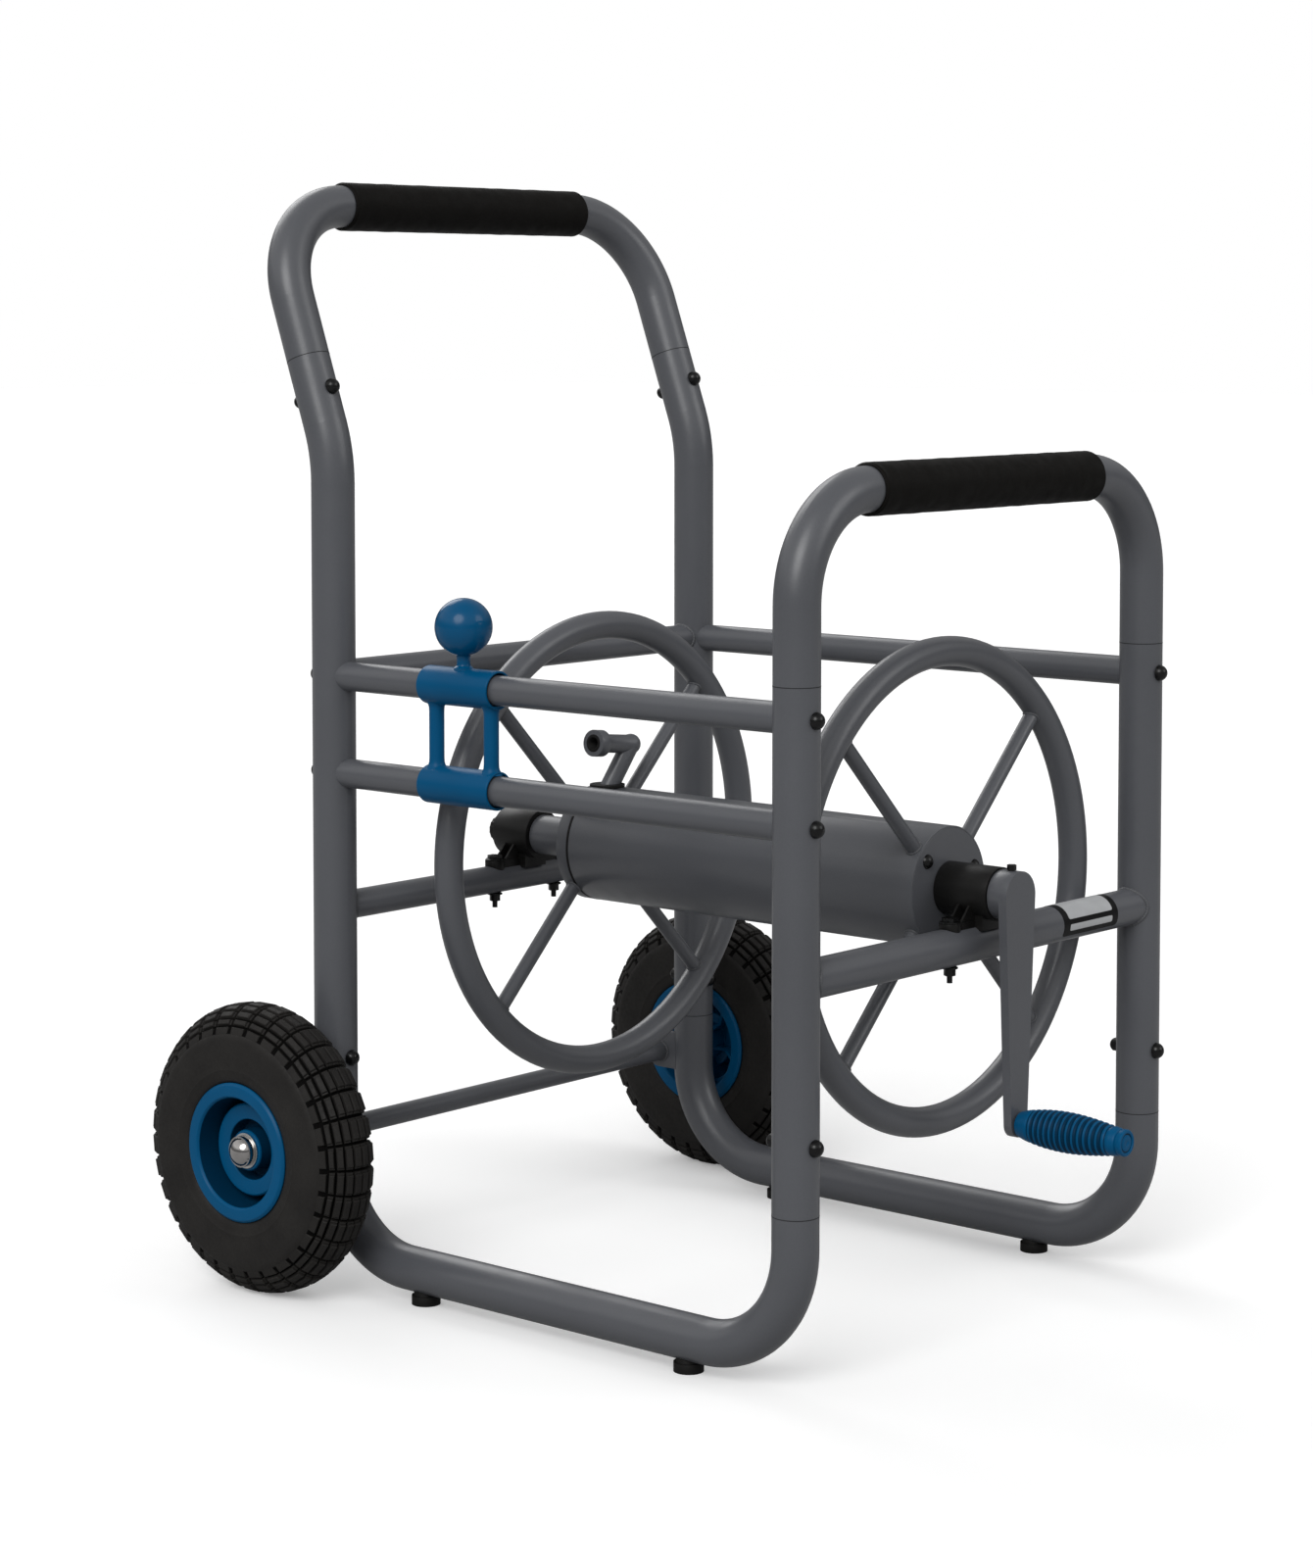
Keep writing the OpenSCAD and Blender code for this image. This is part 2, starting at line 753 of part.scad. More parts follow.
// A rubber ring where the outlet pipe leaves the drum
module outlet_gasket() {
    color(part_black) difference() {
        bar_z(-3, front_y + outlet_y, reel_z + drum_r - 6, reel_z + drum_r + 2.5, 16);
        bar_y(0, front_y + outlet_y - 30, front_y + outlet_y + 30, reel_z, drum_r + 0.02);
        outlet_riser(outlet_r + 0.05);
    }
}

// The crank: a hub on the shaft, and a flat arm that narrows towards the grip
module crank_arm() {
    grip_z = reel_z - crank_throw;
    color(steel_grey) difference() {
        union() {
            bar_y(0, front_y + arm_front, front_y + hub_back, reel_z, hub_r);
            translate([0, front_y + arm_back, 0]) rotate([90, 0, 0])
                linear_extrude(height = arm_back - arm_front) arm_outline(grip_z);
        }
        bar_y(0, front_y + arm_front + 1, front_y + hub_back + 1, reel_z, crank_bore_r + 0.02);
        bar_y(0, front_y + arm_front - 1, front_y + arm_back + 1, grip_z, pin_r + 0.02);
        bar_z(0, front_y + set_screw_y, reel_z, reel_z + hub_r + 1, bolt_r + 0.02);
    }
}

// The arm's outline: straight sides that touch the hub's circle and the foot's circle
module arm_outline(grip_z) {
    lean_angle = asin((hub_r - arm_foot_r) / crank_throw);
    polygon([
        [hub_r * cos(lean_angle), reel_z - hub_r * sin(lean_angle)],
        [arm_foot_r * cos(lean_angle), grip_z - arm_foot_r * sin(lean_angle)],
        [-arm_foot_r * cos(lean_angle), grip_z - arm_foot_r * sin(lean_angle)],
        [-hub_r * cos(lean_angle), reel_z - hub_r * sin(lean_angle)]
    ]);
    translate([0, reel_z]) circle(r = hub_r);
    translate([0, grip_z]) circle(r = arm_foot_r);
}

module crank_set_screw() {
    color(part_black) {
        bar_z(0, front_y + set_screw_y, reel_z + crank_bore_r + 0.1, reel_z + hub_r + 2, bolt_r);
        translate([0, front_y + set_screw_y, reel_z + hub_r + 0.3]) cylinder(r = 4, h = 4.5, $fn = 6);
    }
}

// The pin that the crank grip turns on, with a head sunk in the grip's tip
module grip_pin() {
    tip = front_y - grip_reach;
    grip_z = reel_z - crank_throw;
    color(bright_steel) {
        bar_y(0, tip + 2, front_y + arm_back, grip_z, pin_r);
        bar_y(0, tip + 1, tip + 4, grip_z, 7.4);
    }
}

// The crank grip: a spindle shape, fattest a little nearer the arm
module crank_grip() {
    length = grip_reach + grip_start;
    steps = 14;
    end_r = 10;
    bulge = crank_grip_d / 2 - end_r;
    outline = [for (i = [0 : steps]) let (t = i / steps)
        [end_r + bulge * pow(sin(180 * pow(t, 0.82)), 0.95), length * t]];
    color(guide_blue) translate([0, front_y + grip_start, reel_z - crank_throw]) difference() {
        rotate([90, 0, 0]) rotate_extrude() polygon(concat([[0, 0]], outline, [[0, length]]));
        bar_y(0, -length - 1, 1, 0, pin_r + 0.08);
        bar_y(0, -length - 1, -length + 4.5, 0, 7.8);
    }
}

// The coupling that takes the supply hose and lets the reel turn under it
module inlet_swivel() {
    start = front_y + rear_sleeve[1] + 1.4;
    coupling_end = start + 13;
    color(part_black) difference() {
        bar_y(0, start, coupling_end, reel_z, inlet_r);
        bar_y(0, start - 1, start + 7.5, reel_z, swivel_bore_r + 0.08);
        bar_y(0, start + 6, coupling_end + 1, reel_z, water_r);
    }
}

// The hose guide: two sleeves that slide on the left rails, joined by two posts
module hose_guide() {
    low_y = front_y + guide_y - guide_length / 2;
    post_ys = [for (side = [-0.5, 0.5]) front_y + guide_y + side * guide_post_gap];
    color(guide_blue) difference() {
        union() {
            for (z = [upper_rail_z, lower_rail_z]) bar_y(-post_x, low_y, low_y + guide_length, z, guide_r);
            for (y = post_ys) bar_z(-post_x, y, lower_rail_z, upper_rail_z, guide_post_r);
        }
        for (z = [upper_rail_z, lower_rail_z])
            bar_y(-post_x, low_y - 1, low_y + guide_length + 1, z, rail_r + 0.08);
        bar_z(-post_x, front_y + guide_y, upper_rail_z + rail_r, upper_rail_z + guide_r + 1, stem_hole_r);
    }
}

// A ball on a neck, whose stem is pressed into the upper sleeve
module guide_knob() {
    color(guide_blue) translate([-post_x, front_y + guide_y, 0]) {
        translate([0, 0, knob_z]) sphere(r = knob_d / 2);
        difference() {
            bar_z(0, 0, upper_rail_z + rail_r, knob_z, neck_r);
            bar_y(0, -neck_r - 1, neck_r + 1, upper_rail_z, guide_r + 0.02);
        }
        bar_z(0, 0, upper_rail_z + rail_r + 1, upper_rail_z + guide_r + 2, stem_hole_r - 0.05);
    }
}

// Turns a shape drawn around Z into one around the right-hand wheel's axis, outer side towards +X
module on_wheel_axis() {
    translate([wheel_x, axle_y, axle_z]) rotate([0, 90, 0]) children();
}

// The tyre's section is a squarish oval, cut off where it sits on the rim
module tyre() {
    section_low = rim_seat_r + 0.2;
    section_mid = (tyre_r + section_low) / 2;
    half_height = (tyre_r - section_low) / 2;
    squareness = 2.1;
    steps = 28;
    outline = [for (i = [0 : steps - 1]) let (c = cos(360 * i / steps), s = sin(360 * i / steps)) [
        section_mid + half_height * sign(c) * pow(abs(c), 2 / squareness),
        tyre_w / 2 * sign(s) * pow(abs(s), 2 / squareness)
    ]];
    color(tyre_black) on_wheel_axis() rotate_extrude($fn = 96) polygon(outline);
}

// The rim: a barrel with two flanges, and a disc that carries the hub
module rim() {
    color(guide_blue) on_wheel_axis() difference() {
        union() {
            translate([0, 0, -rim_half_w]) cylinder(r = rim_seat_r, h = 2 * rim_half_w);
            for (z = [-rim_half_w, rim_half_w - 3]) translate([0, 0, z]) cylinder(r = rim_flange_r, h = 3);
        }
        translate([0, 0, disc_outer]) rim_pocket(rim_half_w);
        translate([0, 0, -rim_half_w - 1]) rim_pocket(rim_half_w + 1 + disc_outer - disc_thick);
        translate([0, 0, -rim_half_w - 1]) cylinder(r = bush_r, h = 3 * rim_half_w);
        translate([0, 0, hub_outer]) cylinder(r = hub_outer_r + 1, h = rim_half_w);
        translate([0, 0, -rim_half_w - 1]) cylinder(r = hub_outer_r + 1, h = hub_inner + rim_half_w + 1);
    }
}

// The hollow between the hub and the barrel
module rim_pocket(depth) {
    difference() {
        cylinder(r = rim_lip_r, h = depth);
        translate([0, 0, -1]) cylinder(r = hub_outer_r, h = depth + 2);
    }
}

// Two flanged bushes in the hub, which run on the axle
module wheel_bushes() {
    bush_length = 20;
    color(part_black) on_wheel_axis() difference() {
        union() {
            translate([0, 0, hub_inner]) cylinder(r = bush_r - 0.02, h = bush_length);
            translate([0, 0, hub_outer - bush_length]) cylinder(r = bush_r - 0.02, h = bush_length);
        }
        translate([0, 0, hub_inner - 1]) cylinder(r = axle_r + run_gap, h = hub_outer - hub_inner + 2);
    }
}

module right_tyre() { tyre(); }
module right_rim() { rim(); }
module right_wheel_bushes() { wheel_bushes(); }
module left_tyre() { mirror([1, 0, 0]) tyre(); }
module left_rim() { mirror([1, 0, 0]) rim(); }
module left_wheel_bushes() { mirror([1, 0, 0]) wheel_bushes(); }

left_bottom_loop();
right_bottom_loop();
front_left_post();
front_right_post();
front_crossbar();
rear_left_post();
rear_right_post();
rear_top_crossbar();
rear_crossbar();
axle_tube();
axle_brackets();
axle_rod();
front_handle();
rear_handle();
front_grip();
rear_grip();
left_upper_rail();
left_lower_rail();
right_rail();
rail_inserts();
rail_bolts();
frame_bolts();
frame_nuts();
feet();
foot_screws();
front_bearing();
rear_bearing();
bearing_bolts();
bearing_nuts();
blank_label();
axle_spacers();
axle_washers();
axle_cap_nuts();
drum();
front_end_plate();
rear_end_cap();
front_ring();
rear_ring();
front_spokes();
rear_spokes();
front_shaft();
rear_shaft();
plate_bolts();
outlet_gasket();
outlet_pipe();
crank_arm();
crank_set_screw();
grip_pin();
crank_grip();
inlet_swivel();
hose_guide();
guide_knob();
left_tyre();
left_rim();
left_wheel_bushes();
right_tyre();
right_rim();
right_wheel_bushes();
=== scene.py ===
import math

import bmesh
import bpy
from mathutils import Matrix, Vector


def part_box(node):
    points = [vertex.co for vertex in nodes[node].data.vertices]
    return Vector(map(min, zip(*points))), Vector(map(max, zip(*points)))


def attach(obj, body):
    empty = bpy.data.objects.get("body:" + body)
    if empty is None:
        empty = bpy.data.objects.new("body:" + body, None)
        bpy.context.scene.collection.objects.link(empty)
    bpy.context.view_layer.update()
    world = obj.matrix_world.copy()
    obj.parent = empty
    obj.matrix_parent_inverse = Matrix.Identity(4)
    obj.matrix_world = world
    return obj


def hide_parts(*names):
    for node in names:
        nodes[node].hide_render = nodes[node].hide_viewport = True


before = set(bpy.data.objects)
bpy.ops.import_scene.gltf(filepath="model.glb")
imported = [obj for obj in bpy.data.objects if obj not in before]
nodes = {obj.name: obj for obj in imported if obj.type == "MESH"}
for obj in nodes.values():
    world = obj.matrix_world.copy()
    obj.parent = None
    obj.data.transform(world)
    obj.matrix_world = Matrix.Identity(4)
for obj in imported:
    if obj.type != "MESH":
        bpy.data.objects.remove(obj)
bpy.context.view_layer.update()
scene = bpy.context.scene
scene.view_settings.view_transform = "Standard"
mm = 0.001
for imported in list(bpy.data.materials):
    bpy.data.materials.remove(imported)


# ---------------------------------------------------------------- places, from the CAD boxes
def centre(node):
    low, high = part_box(node)
    return (low + high) / 2


def extent(node):
    low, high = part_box(node)
    return high - low


reel = centre("front_ring")
axle = centre("axle_rod")
post_x = centre("front_right_post").x
front_y = centre("front_right_post").y
rear_y = front_y + extent("left_bottom_loop").y - extent("front_right_post").x
tube_r = extent("front_right_post").x / 2
rail_r = extent("left_upper_rail").x / 2
upper_rail_z = centre("left_upper_rail").z
lower_rail_z = centre("left_lower_rail").z
wheel_x = centre("right_tyre").x
tyre_r = extent("right_tyre").z / 2


# ---------------------------------------------------------------- materials
MIX_A, MIX_B, MIX_RESULT = 6, 7, 2  # a Mix node's colour sockets


class Nodes:
    """A material's node tree, with short ways to add what most of them need."""

    def __init__(self, name):
        self.material = bpy.data.materials.new(name)
        self.material.use_nodes = True
        self.tree = self.material.node_tree
        self.shader = self.tree.nodes["Principled BSDF"]
        self.place = self.add("ShaderNodeTexCoord").outputs["Object"]

    def add(self, kind, **inputs):
        node = self.tree.nodes.new(kind)
        for key, value in inputs.items():
            node.inputs[key.replace("_", " ")].default_value = value
        return node

    def link(self, a, b):
        self.tree.links.new(a, b)

    def noise(self, scale, detail=2.0, roughness=0.5):
        node = self.add("ShaderNodeTexNoise", Scale=scale, Detail=detail, Roughness=roughness)
        self.link(self.place, node.inputs["Vector"])
        return node.outputs["Fac"]

    def cells(self, scale):
        node = self.add("ShaderNodeTexVoronoi", Scale=scale)
        self.link(self.place, node.inputs["Vector"])
        return node.outputs["Distance"]

    def ramp(self, value, low, high, colour_low, colour_high):
        node = self.add("ShaderNodeValToRGB")
        node.color_ramp.elements[0].position = low
        node.color_ramp.elements[1].position = high
        node.color_ramp.elements[0].color = (*colour_low, 1)
        node.color_ramp.elements[1].color = (*colour_high, 1)
        self.link(value, node.inputs["Fac"])
        return node.outputs["Color"]

    def span(self, value, low, high, to_low, to_high):
        node = self.add("ShaderNodeMapRange")
        for key, v in (("From Min", low), ("From Max", high), ("To Min", to_low), ("To Max", to_high)):
            node.inputs[key].default_value = v
        self.link(value, node.inputs["Value"])
        return node.outputs["Result"]

    def bump(self, height, strength, distance, below=None):
        node = self.add("ShaderNodeBump", Strength=strength, Distance=distance)
        self.link(height, node.inputs["Height"])
        if below:
            self.link(below, node.inputs["Normal"])
        self.link(node.outputs["Normal"], self.shader.inputs["Normal"])
        return node.outputs["Normal"]

    def to(self, key, value):
        if hasattr(value, "is_linked"):
            self.link(value, self.shader.inputs[key])
        else:
            self.shader.inputs[key].default_value = value


def shade(colour, factor):
    return tuple(c * factor for c in colour)


def coat(name, colour, roughness, peel=0.12, peel_size=900, specular=0.3, spread=0.08):
    """A sprayed or moulded finish: broad colour drift, fine orange peel, and uneven gloss."""
    n = Nodes(name)
    drift = n.noise(9, 3)
    fine = n.noise(peel_size, 2)
    n.to("Base Color", n.ramp(drift, 0.3, 0.7, shade(colour, 1 - spread), shade(colour, 1 + spread)))
    n.to("Roughness", n.span(n.noise(60, 3), 0.3, 0.7, roughness - 0.05, roughness + 0.06))
    n.to("Specular IOR Level", specular)
    n.bump(n.noise(70, 2), 0.12, 0.0006, n.bump(fine, peel, 0.0003))
    return n.material


def powder_coat():
    """Fine textured powder coat: a speckle of lighter grains over a satin ground."""
    n = Nodes("powder_coat")
    grey = (0.086, 0.0896, 0.0995)
    grains = n.noise(2600, 2)
    drift = n.noise(7, 3)
    mix = n.add("ShaderNodeMix")
    mix.data_type = "RGBA"
    mix.blend_type = "MULTIPLY"
    mix.inputs[0].default_value = 1
    n.link(n.ramp(drift, 0.3, 0.7, shade(grey, 0.95), shade(grey, 1.05)), mix.inputs[MIX_A])
    n.link(n.ramp(grains, 0.35, 0.72, (0.9, 0.9, 0.9), (1.14, 1.14, 1.14)), mix.inputs[MIX_B])
    n.to("Base Color", mix.outputs[MIX_RESULT])
    n.to("Roughness", n.span(n.noise(45, 3), 0.3, 0.7, 0.29, 0.37))
    n.to("Specular IOR Level", 0.5)
    n.bump(grains, 0.1, 0.0002, n.bump(n.noise(420, 2), 0.1, 0.0005))
    return n.material


def foam():
    """Closed-cell foam: small round pits in a soft skin, coloured darker in the pits as painted shade."""
    n = Nodes("grip_foam")
    pits = n.cells(620)
    # the colour is darker towards the middle of each pit: painted shade
    n.to("Base Color", n.ramp(pits, 0.05, 0.6, (0.0032, 0.0029, 0.0025), (0.0052, 0.0046, 0.0039)))
    n.to("Roughness", n.span(n.noise(90, 3), 0.3, 0.7, 0.55, 0.7))
    n.to("Specular IOR Level", 0.09)
    n.bump(pits, 0.1, 0.0003, n.bump(n.noise(55, 3), 0.15, 0.0008))
    return n.material


def tyre_rubber():
    """Matte moulded rubber: a grey bloom in patches, with fine mould grain."""
    n = Nodes("tyre_rubber")
    bloom = n.noise(26, 4, 0.6)
    n.to("Base Color", n.ramp(bloom, 0.35, 0.75, (0.0115, 0.0105, 0.0098), (0.019, 0.0175, 0.016)))
    n.to("Roughness", n.span(n.noise(300, 2), 0.3, 0.7, 0.55, 0.72))
    n.to("Specular IOR Level", 0.22)
    n.bump(n.noise(1500, 2), 0.25, 0.0003, n.bump(n.noise(160, 2), 0.15, 0.0006))
    return n.material


def blue_plastic(name, roughness, specular, brightness=1.0):
    """Moulded blue plastic. A lower brightness paints shade into recesses."""
    n = Nodes(name)
    blue = shade((0.0, 0.075, 0.185), brightness)
    n.to("Base Color", n.ramp(n.noise(14, 3), 0.3, 0.7, shade(blue, 0.93), shade(blue, 1.07)))
    n.to("Roughness", n.span(n.noise(80, 3), 0.3, 0.7, roughness - 0.04, roughness + 0.05))
    n.to("Specular IOR Level", specular)
    n.bump(n.noise(1300, 2), 0.06, 0.0002, n.bump(n.noise(60, 2), 0.06, 0.0006))
    return n.material


def zinc():
    """Zinc-plated steel, with a fine turned grain and faint yellow and blue patches."""
    n = Nodes("zinc_steel")
    patches = n.noise(45, 3)
    n.to("Base Color", n.ramp(patches, 0.3, 0.7, (0.56, 0.57, 0.6), (0.68, 0.66, 0.6)))
    n.to("Metallic", 1.0)
    n.to("Roughness", n.span(n.noise(500, 3), 0.3, 0.7, 0.24, 0.38))
    n.bump(n.noise(1800, 2), 0.15, 0.0002)
    return n.material


def chrome():
    """Bright plating, slightly uneven in its gloss."""
    n = Nodes("chrome")
    n.to("Base Color", n.ramp(n.noise(120, 2), 0.3, 0.7, (0.4, 0.385, 0.375), (0.5, 0.485, 0.475)))
    n.to("Metallic", 1.0)
    n.to("Roughness", n.span(n.noise(400, 2), 0.3, 0.7, 0.07, 0.16))
    n.bump(n.noise(300, 2), 0.04, 0.0003)
    return n.material


def label_film(name, colour, roughness, specular):
    """Plain printed film."""
    n = Nodes(name)
    n.to("Specular IOR Level", specular)
    n.to("Base Color", n.ramp(n.noise(60, 3), 0.3, 0.7, shade(colour, 0.92), shade(colour, 1.04)))
    n.to("Roughness", n.span(n.noise(200, 2), 0.3, 0.7, roughness, roughness + 0.12))
    n.bump(n.noise(220, 2), 0.12, 0.0003)
    return n.material


POWDER = powder_coat()
WELD = coat("weld_coat", (0.088, 0.091, 0.098), 0.42, 0.35, 700)
BLUE = blue_plastic("blue_plastic", 0.36, 0.12)
GLOSSY_BLUE = blue_plastic("blue_gloss_plastic", 0.2, 0.22)
# a darker copy of the blue, for recesses: painted shade
BLUE_PAINTED_SHADE = blue_plastic("blue_painted_shade_plastic", 0.5, 0.08, 0.34)
FOAM = foam()
TYRE = tyre_rubber()
# near-black rubber for the bottoms of the tyre's grooves: painted shade
TYRE_GROOVE_SHADE = coat("tyre_groove_shade", (0.0032, 0.003, 0.0029), 0.85, 0.3, 900, 0.04)
BLACK_PLASTIC = coat("black_plastic", (0.0075, 0.0073, 0.007), 0.4, 0.2, 1100, 0.22)
BLACK_METAL = coat("black_coated_metal", (0.004, 0.004, 0.0042), 0.26, 0.12, 800, 0.3)
RUBBER = coat("black_rubber", (0.007, 0.0067, 0.0064), 0.62, 0.3, 1200, 0.2)
# a dark ring that stands in for the shadow in each tube joint: painted shadow
SEAM_SHADOW = coat("seam_shadow", (0.016, 0.0165, 0.018), 0.6, 0.2, 900)
ZINC = zinc()
CHROME = chrome()
LABEL_SILVER = label_film("label_silver", (0.43, 0.44, 0.45), 0.32, 0.4)
LABEL_BLACK = label_film("label_black", (0.004, 0.004, 0.0042), 0.35, 0.12)


# ---------------------------------------------------------------- making pieces
def mark_sharp(bm, degrees):
    """Smooth shading, except over edges that turn by more than degrees."""
    limit = math.radians(degrees)
    for e in bm.edges:
        e.smooth = len(e.link_faces) == 2 and e.calc_face_angle(0) < limit
    for f in bm.faces:
        f.smooth = True


def piece(name, bm, material, body, replaces, sharp):
    """Turns a bmesh in the part's frame into a piece that rides on a body.

    Edges that turn by more than sharp degrees are shaded as edges.
    """
    bmesh.ops.remove_doubles(bm, verts=bm.verts, dist=1e-6)
    bmesh.ops.recalc_face_normals(bm, faces=bm.faces)
    mark_sharp(bm, sharp)
    mesh = bpy.data.meshes.new(name)
    bm.to_mesh(mesh)
    bm.free()
    obj = bpy.data.objects.new(name, mesh)
    scene.collection.objects.link(obj)
    obj.data.materials.append(material)
    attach(obj, body)
    if replaces:
        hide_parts(*replaces)
    return obj


def rounded(points):
    """A polyline with its corners rounded: each point is (r, a) or (r, a, fillet radius)."""
    steps = 4
    out = []
    count = len(points)
    for i, p in enumerate(points):
        fillet = p[2] if len(p) > 2 else 0
        here = Vector(p[:2])
        if fillet <= 0 or i in (0, count - 1):
            out.append(tuple(here))
            continue
        before = Vector(points[i - 1][:2]) - here
        after = Vector(points[i + 1][:2]) - here
        angle = before.angle(after)
        cut = min(fillet / math.tan(angle / 2), before.length * 0.49, after.length * 0.49)
        start, end = here + before.normalized() * cut, here + after.normalized() * cut
        for k in range(steps + 1):
            t = k / steps
            out.append(tuple(start * (1 - t) ** 2 + here * 2 * t * (1 - t) + end * t ** 2))
    return out


def lathe(bm, profile, place, segments, closed=False):
    """Turns (radius, along) points, in millimetres, around the local Z axis of place."""
    rings = []
    for r, a in profile:
        if r < 1e-4:
            rings.append([bm.verts.new(place @ Vector((0, 0, a * mm)))] * segments)
            continue
        ring = []
        for k in range(segments):
            turn = 2 * math.pi * k / segments
            point = Vector((r * mm * math.cos(turn), r * mm * math.sin(turn), a * mm))
            ring.append(bm.verts.new(place @ point))
        rings.append(ring)
    pairs = list(zip(rings, rings[1:]))
    if closed:
        pairs.append((rings[-1], rings[0]))
    for one, two in pairs:
        for k in range(segments):
            n = (k + 1) % segments
            corners = []
            for v in (one[k], one[n], two[n], two[k]):
                if v not in corners:
                    corners.append(v)
            if len(corners) > 2:
                bm.faces.new(corners)


def along(origin, axis):
    """A frame whose local Z is axis, at origin."""
    return Matrix.Translation(origin) @ Vector(axis).to_track_quat("Z", "Y").to_matrix().to_4x4()


def closed_tube(bm, points, radii, sides):
    """A tube of changing radius along a closed line."""
    count = len(points)
    rings = []
    up = None
    for i, (p, r) in enumerate(zip(points, radii)):
        tangent = (points[(i + 1) % count] - points[i - 1]).normalized()
        if up is None:
            up = tangent.orthogonal().normalized()
        up = (up - tangent * up.dot(tangent)).normalized()
        side = tangent.cross(up)
        rings.append([
            bm.verts.new(p + (up * math.cos(t) + side * math.sin(t)) * r)
            for t in (2 * math.pi * k / sides for k in range(sides))
        ])
    # the last ring may have turned against the first, so it joins at the nearest point
    twist = min(range(sides), key=lambda s: (rings[-1][s].co - rings[0][0].co).length)
    last = rings[-1][twist:] + rings[-1][:twist]
    for one, two in [*zip(rings, rings[1:]), (last, rings[0])]:
        for k in range(sides):
            n = (k + 1) % sides
            bm.faces.new((one[k], one[n], two[n], two[k]))


def weld(bm, points, radius):
    """A weld bead round a closed line, with the ripples of its drops."""
    drop_length, points_per_drop = 0.0024, 4
    ring = points + points[:1]
    length = sum((b - a).length for a, b in zip(ring, ring[1:]))
    count = max(8, int(length / drop_length)) * points_per_drop
    step = length / count
    walked, resampled, target = 0.0, [], 0.0
    for a, b in zip(ring, ring[1:]):
        span = (b - a).length
        while span > 0 and target < walked + span - 1e-9 and len(resampled) < count:
            resampled.append(a.lerp(b, (target - walked) / span))
            target += step
        walked += span
    radii = [radius * (0.86 + 0.2 * abs(math.sin(math.pi * k / points_per_drop + 0.3)))
             for k in range(len(resampled))]
    closed_tube(bm, resampled, radii, 8)


def saddle(bar_radius, post_radius, origin, bar_axis, post_axis, lift):
    """The closed line where a bar leaves a post it meets at a right angle."""
    bar, post = Vector(bar_axis).normalized(), Vector(post_axis).normalized()
    side = bar.cross(post)
    steps = 48
    out = []
    for k in range(steps):
        t = 2 * math.pi * k / steps
        across, up = bar_radius * math.cos(t), bar_radius * math.sin(t)
        reach = math.sqrt(max(post_radius ** 2 - across ** 2, 0)) + lift
        out.append(Vector(origin) + side * across + post * up + bar * reach)
    return out


def soften(node, width):
    """Rounds the sharp edges of a CAD node, with modifiers only."""
    join = nodes[node].modifiers.new("join", "WELD")
    join.merge_threshold = 1e-6
    bevel = nodes[node].modifiers.new("soft_edges", "BEVEL")
    bevel.width = width * mm
    bevel.segments = 2
    bevel.limit_method = "ANGLE"
    bevel.angle_limit = math.radians(30)
    bevel.use_clamp_overlap = True


# ---------------------------------------------------------------- the CAD nodes' finishes
# Every node gets one, also the nodes that a detailed piece replaces further on.
FINISHES = {
    POWDER: """left_bottom_loop right_bottom_loop front_left_post front_right_post front_crossbar
        rear_left_post rear_right_post rear_top_crossbar rear_crossbar axle_tube axle_brackets
        front_handle rear_handle left_upper_rail left_lower_rail right_rail drum front_end_plate
        rear_end_cap front_ring rear_ring front_spokes rear_spokes rear_shaft outlet_pipe crank_arm""",
    BLACK_PLASTIC: """rail_inserts front_bearing rear_bearing axle_spacers inlet_swivel
        left_wheel_bushes right_wheel_bushes""",
    RUBBER: "feet outlet_gasket front_grip rear_grip left_tyre right_tyre",
    BLACK_METAL: """rail_bolts frame_bolts frame_nuts bearing_bolts bearing_nuts plate_bolts
        crank_set_screw grip_pin""",
    ZINC: "axle_rod foot_screws axle_washers front_shaft",
    CHROME: "axle_cap_nuts",
    BLUE: "crank_grip hose_guide guide_knob left_rim right_rim",
    LABEL_SILVER: "blank_label",
}
for material, names in FINISHES.items():
    for name in names.split():
        nodes[name].data.materials.clear()
        nodes[name].data.materials.append(material)


# ---------------------------------------------------------------- wheels
def spline(points, u):
    """A smooth curve through points, at u between 0 and the last point's index."""
    last = len(points) - 1
    i = min(int(u), last - 1)
    t = u - i
    p = [Vector(points[max(0, min(last, i + k))]) for k in (-1, 0, 1, 2)]
    return 0.5 * (2 * p[1] + (p[2] - p[0]) * t + (2 * p[0] - 5 * p[1] + 4 * p[2] - p[3]) * t * t
                  + (3 * p[1] - p[0] - 3 * p[2] + p[3]) * t ** 3)


# The tyre's section over its tread and shoulder, as (radius, distance from the wheel's middle plane)
TREAD = [(127, 0), (126.4, 7), (124.3, 13), (120.4, 19), (114.4, 24.8), (106.4, 29), (98, 31.1), (89, 31.5)]
PITCHES = 34
TREAD_DEPTH = 5.2
DEPTH_FADES_FROM, DEPTH_FADE = 4, 3.2
# Each column of blocks beside the middle: from, to (in points of TREAD), and how much lower its top is
COLUMNS = [(0.13, 1.1, 0), (1.4, 2.36, 0), (2.64, 3.46, 0.2), (3.72, 4.36, 0.6)]
# A block has a wide step low down and a narrower top. Half widths are shares of the pitch.
STEP_HALF_WIDTH, STEP_DROP, STEP_CHAMFER = 0.44, 1.7, 0.5
TOP_HALF_WIDTH, TOP_INSET, TOP_CHAMFER = 0.345, 0.05, 0.6
# The shoulder's lugs start at one point of TREAD and end at the other two in turn
LUG_START, LUG_ENDS, LUG_HALF_WIDTH = 4.6, (5.4, 5.62), 0.38
LUG_FOOT, LUG_TOP, LUG_CHAMFER = 3.8, 0.75, 0.5
# The tyre's side wall down to its bead, as TREAD
SIDE_WALL = [(84, 31.6), (78, 31.5), (73.4, 31.2), (72.2, 31.5), (71, 31.1), (67, 30.6), (63.4, 29.9),
             (61.6, 28.7), (60.4, 26.6), (52.5, 25.6)]


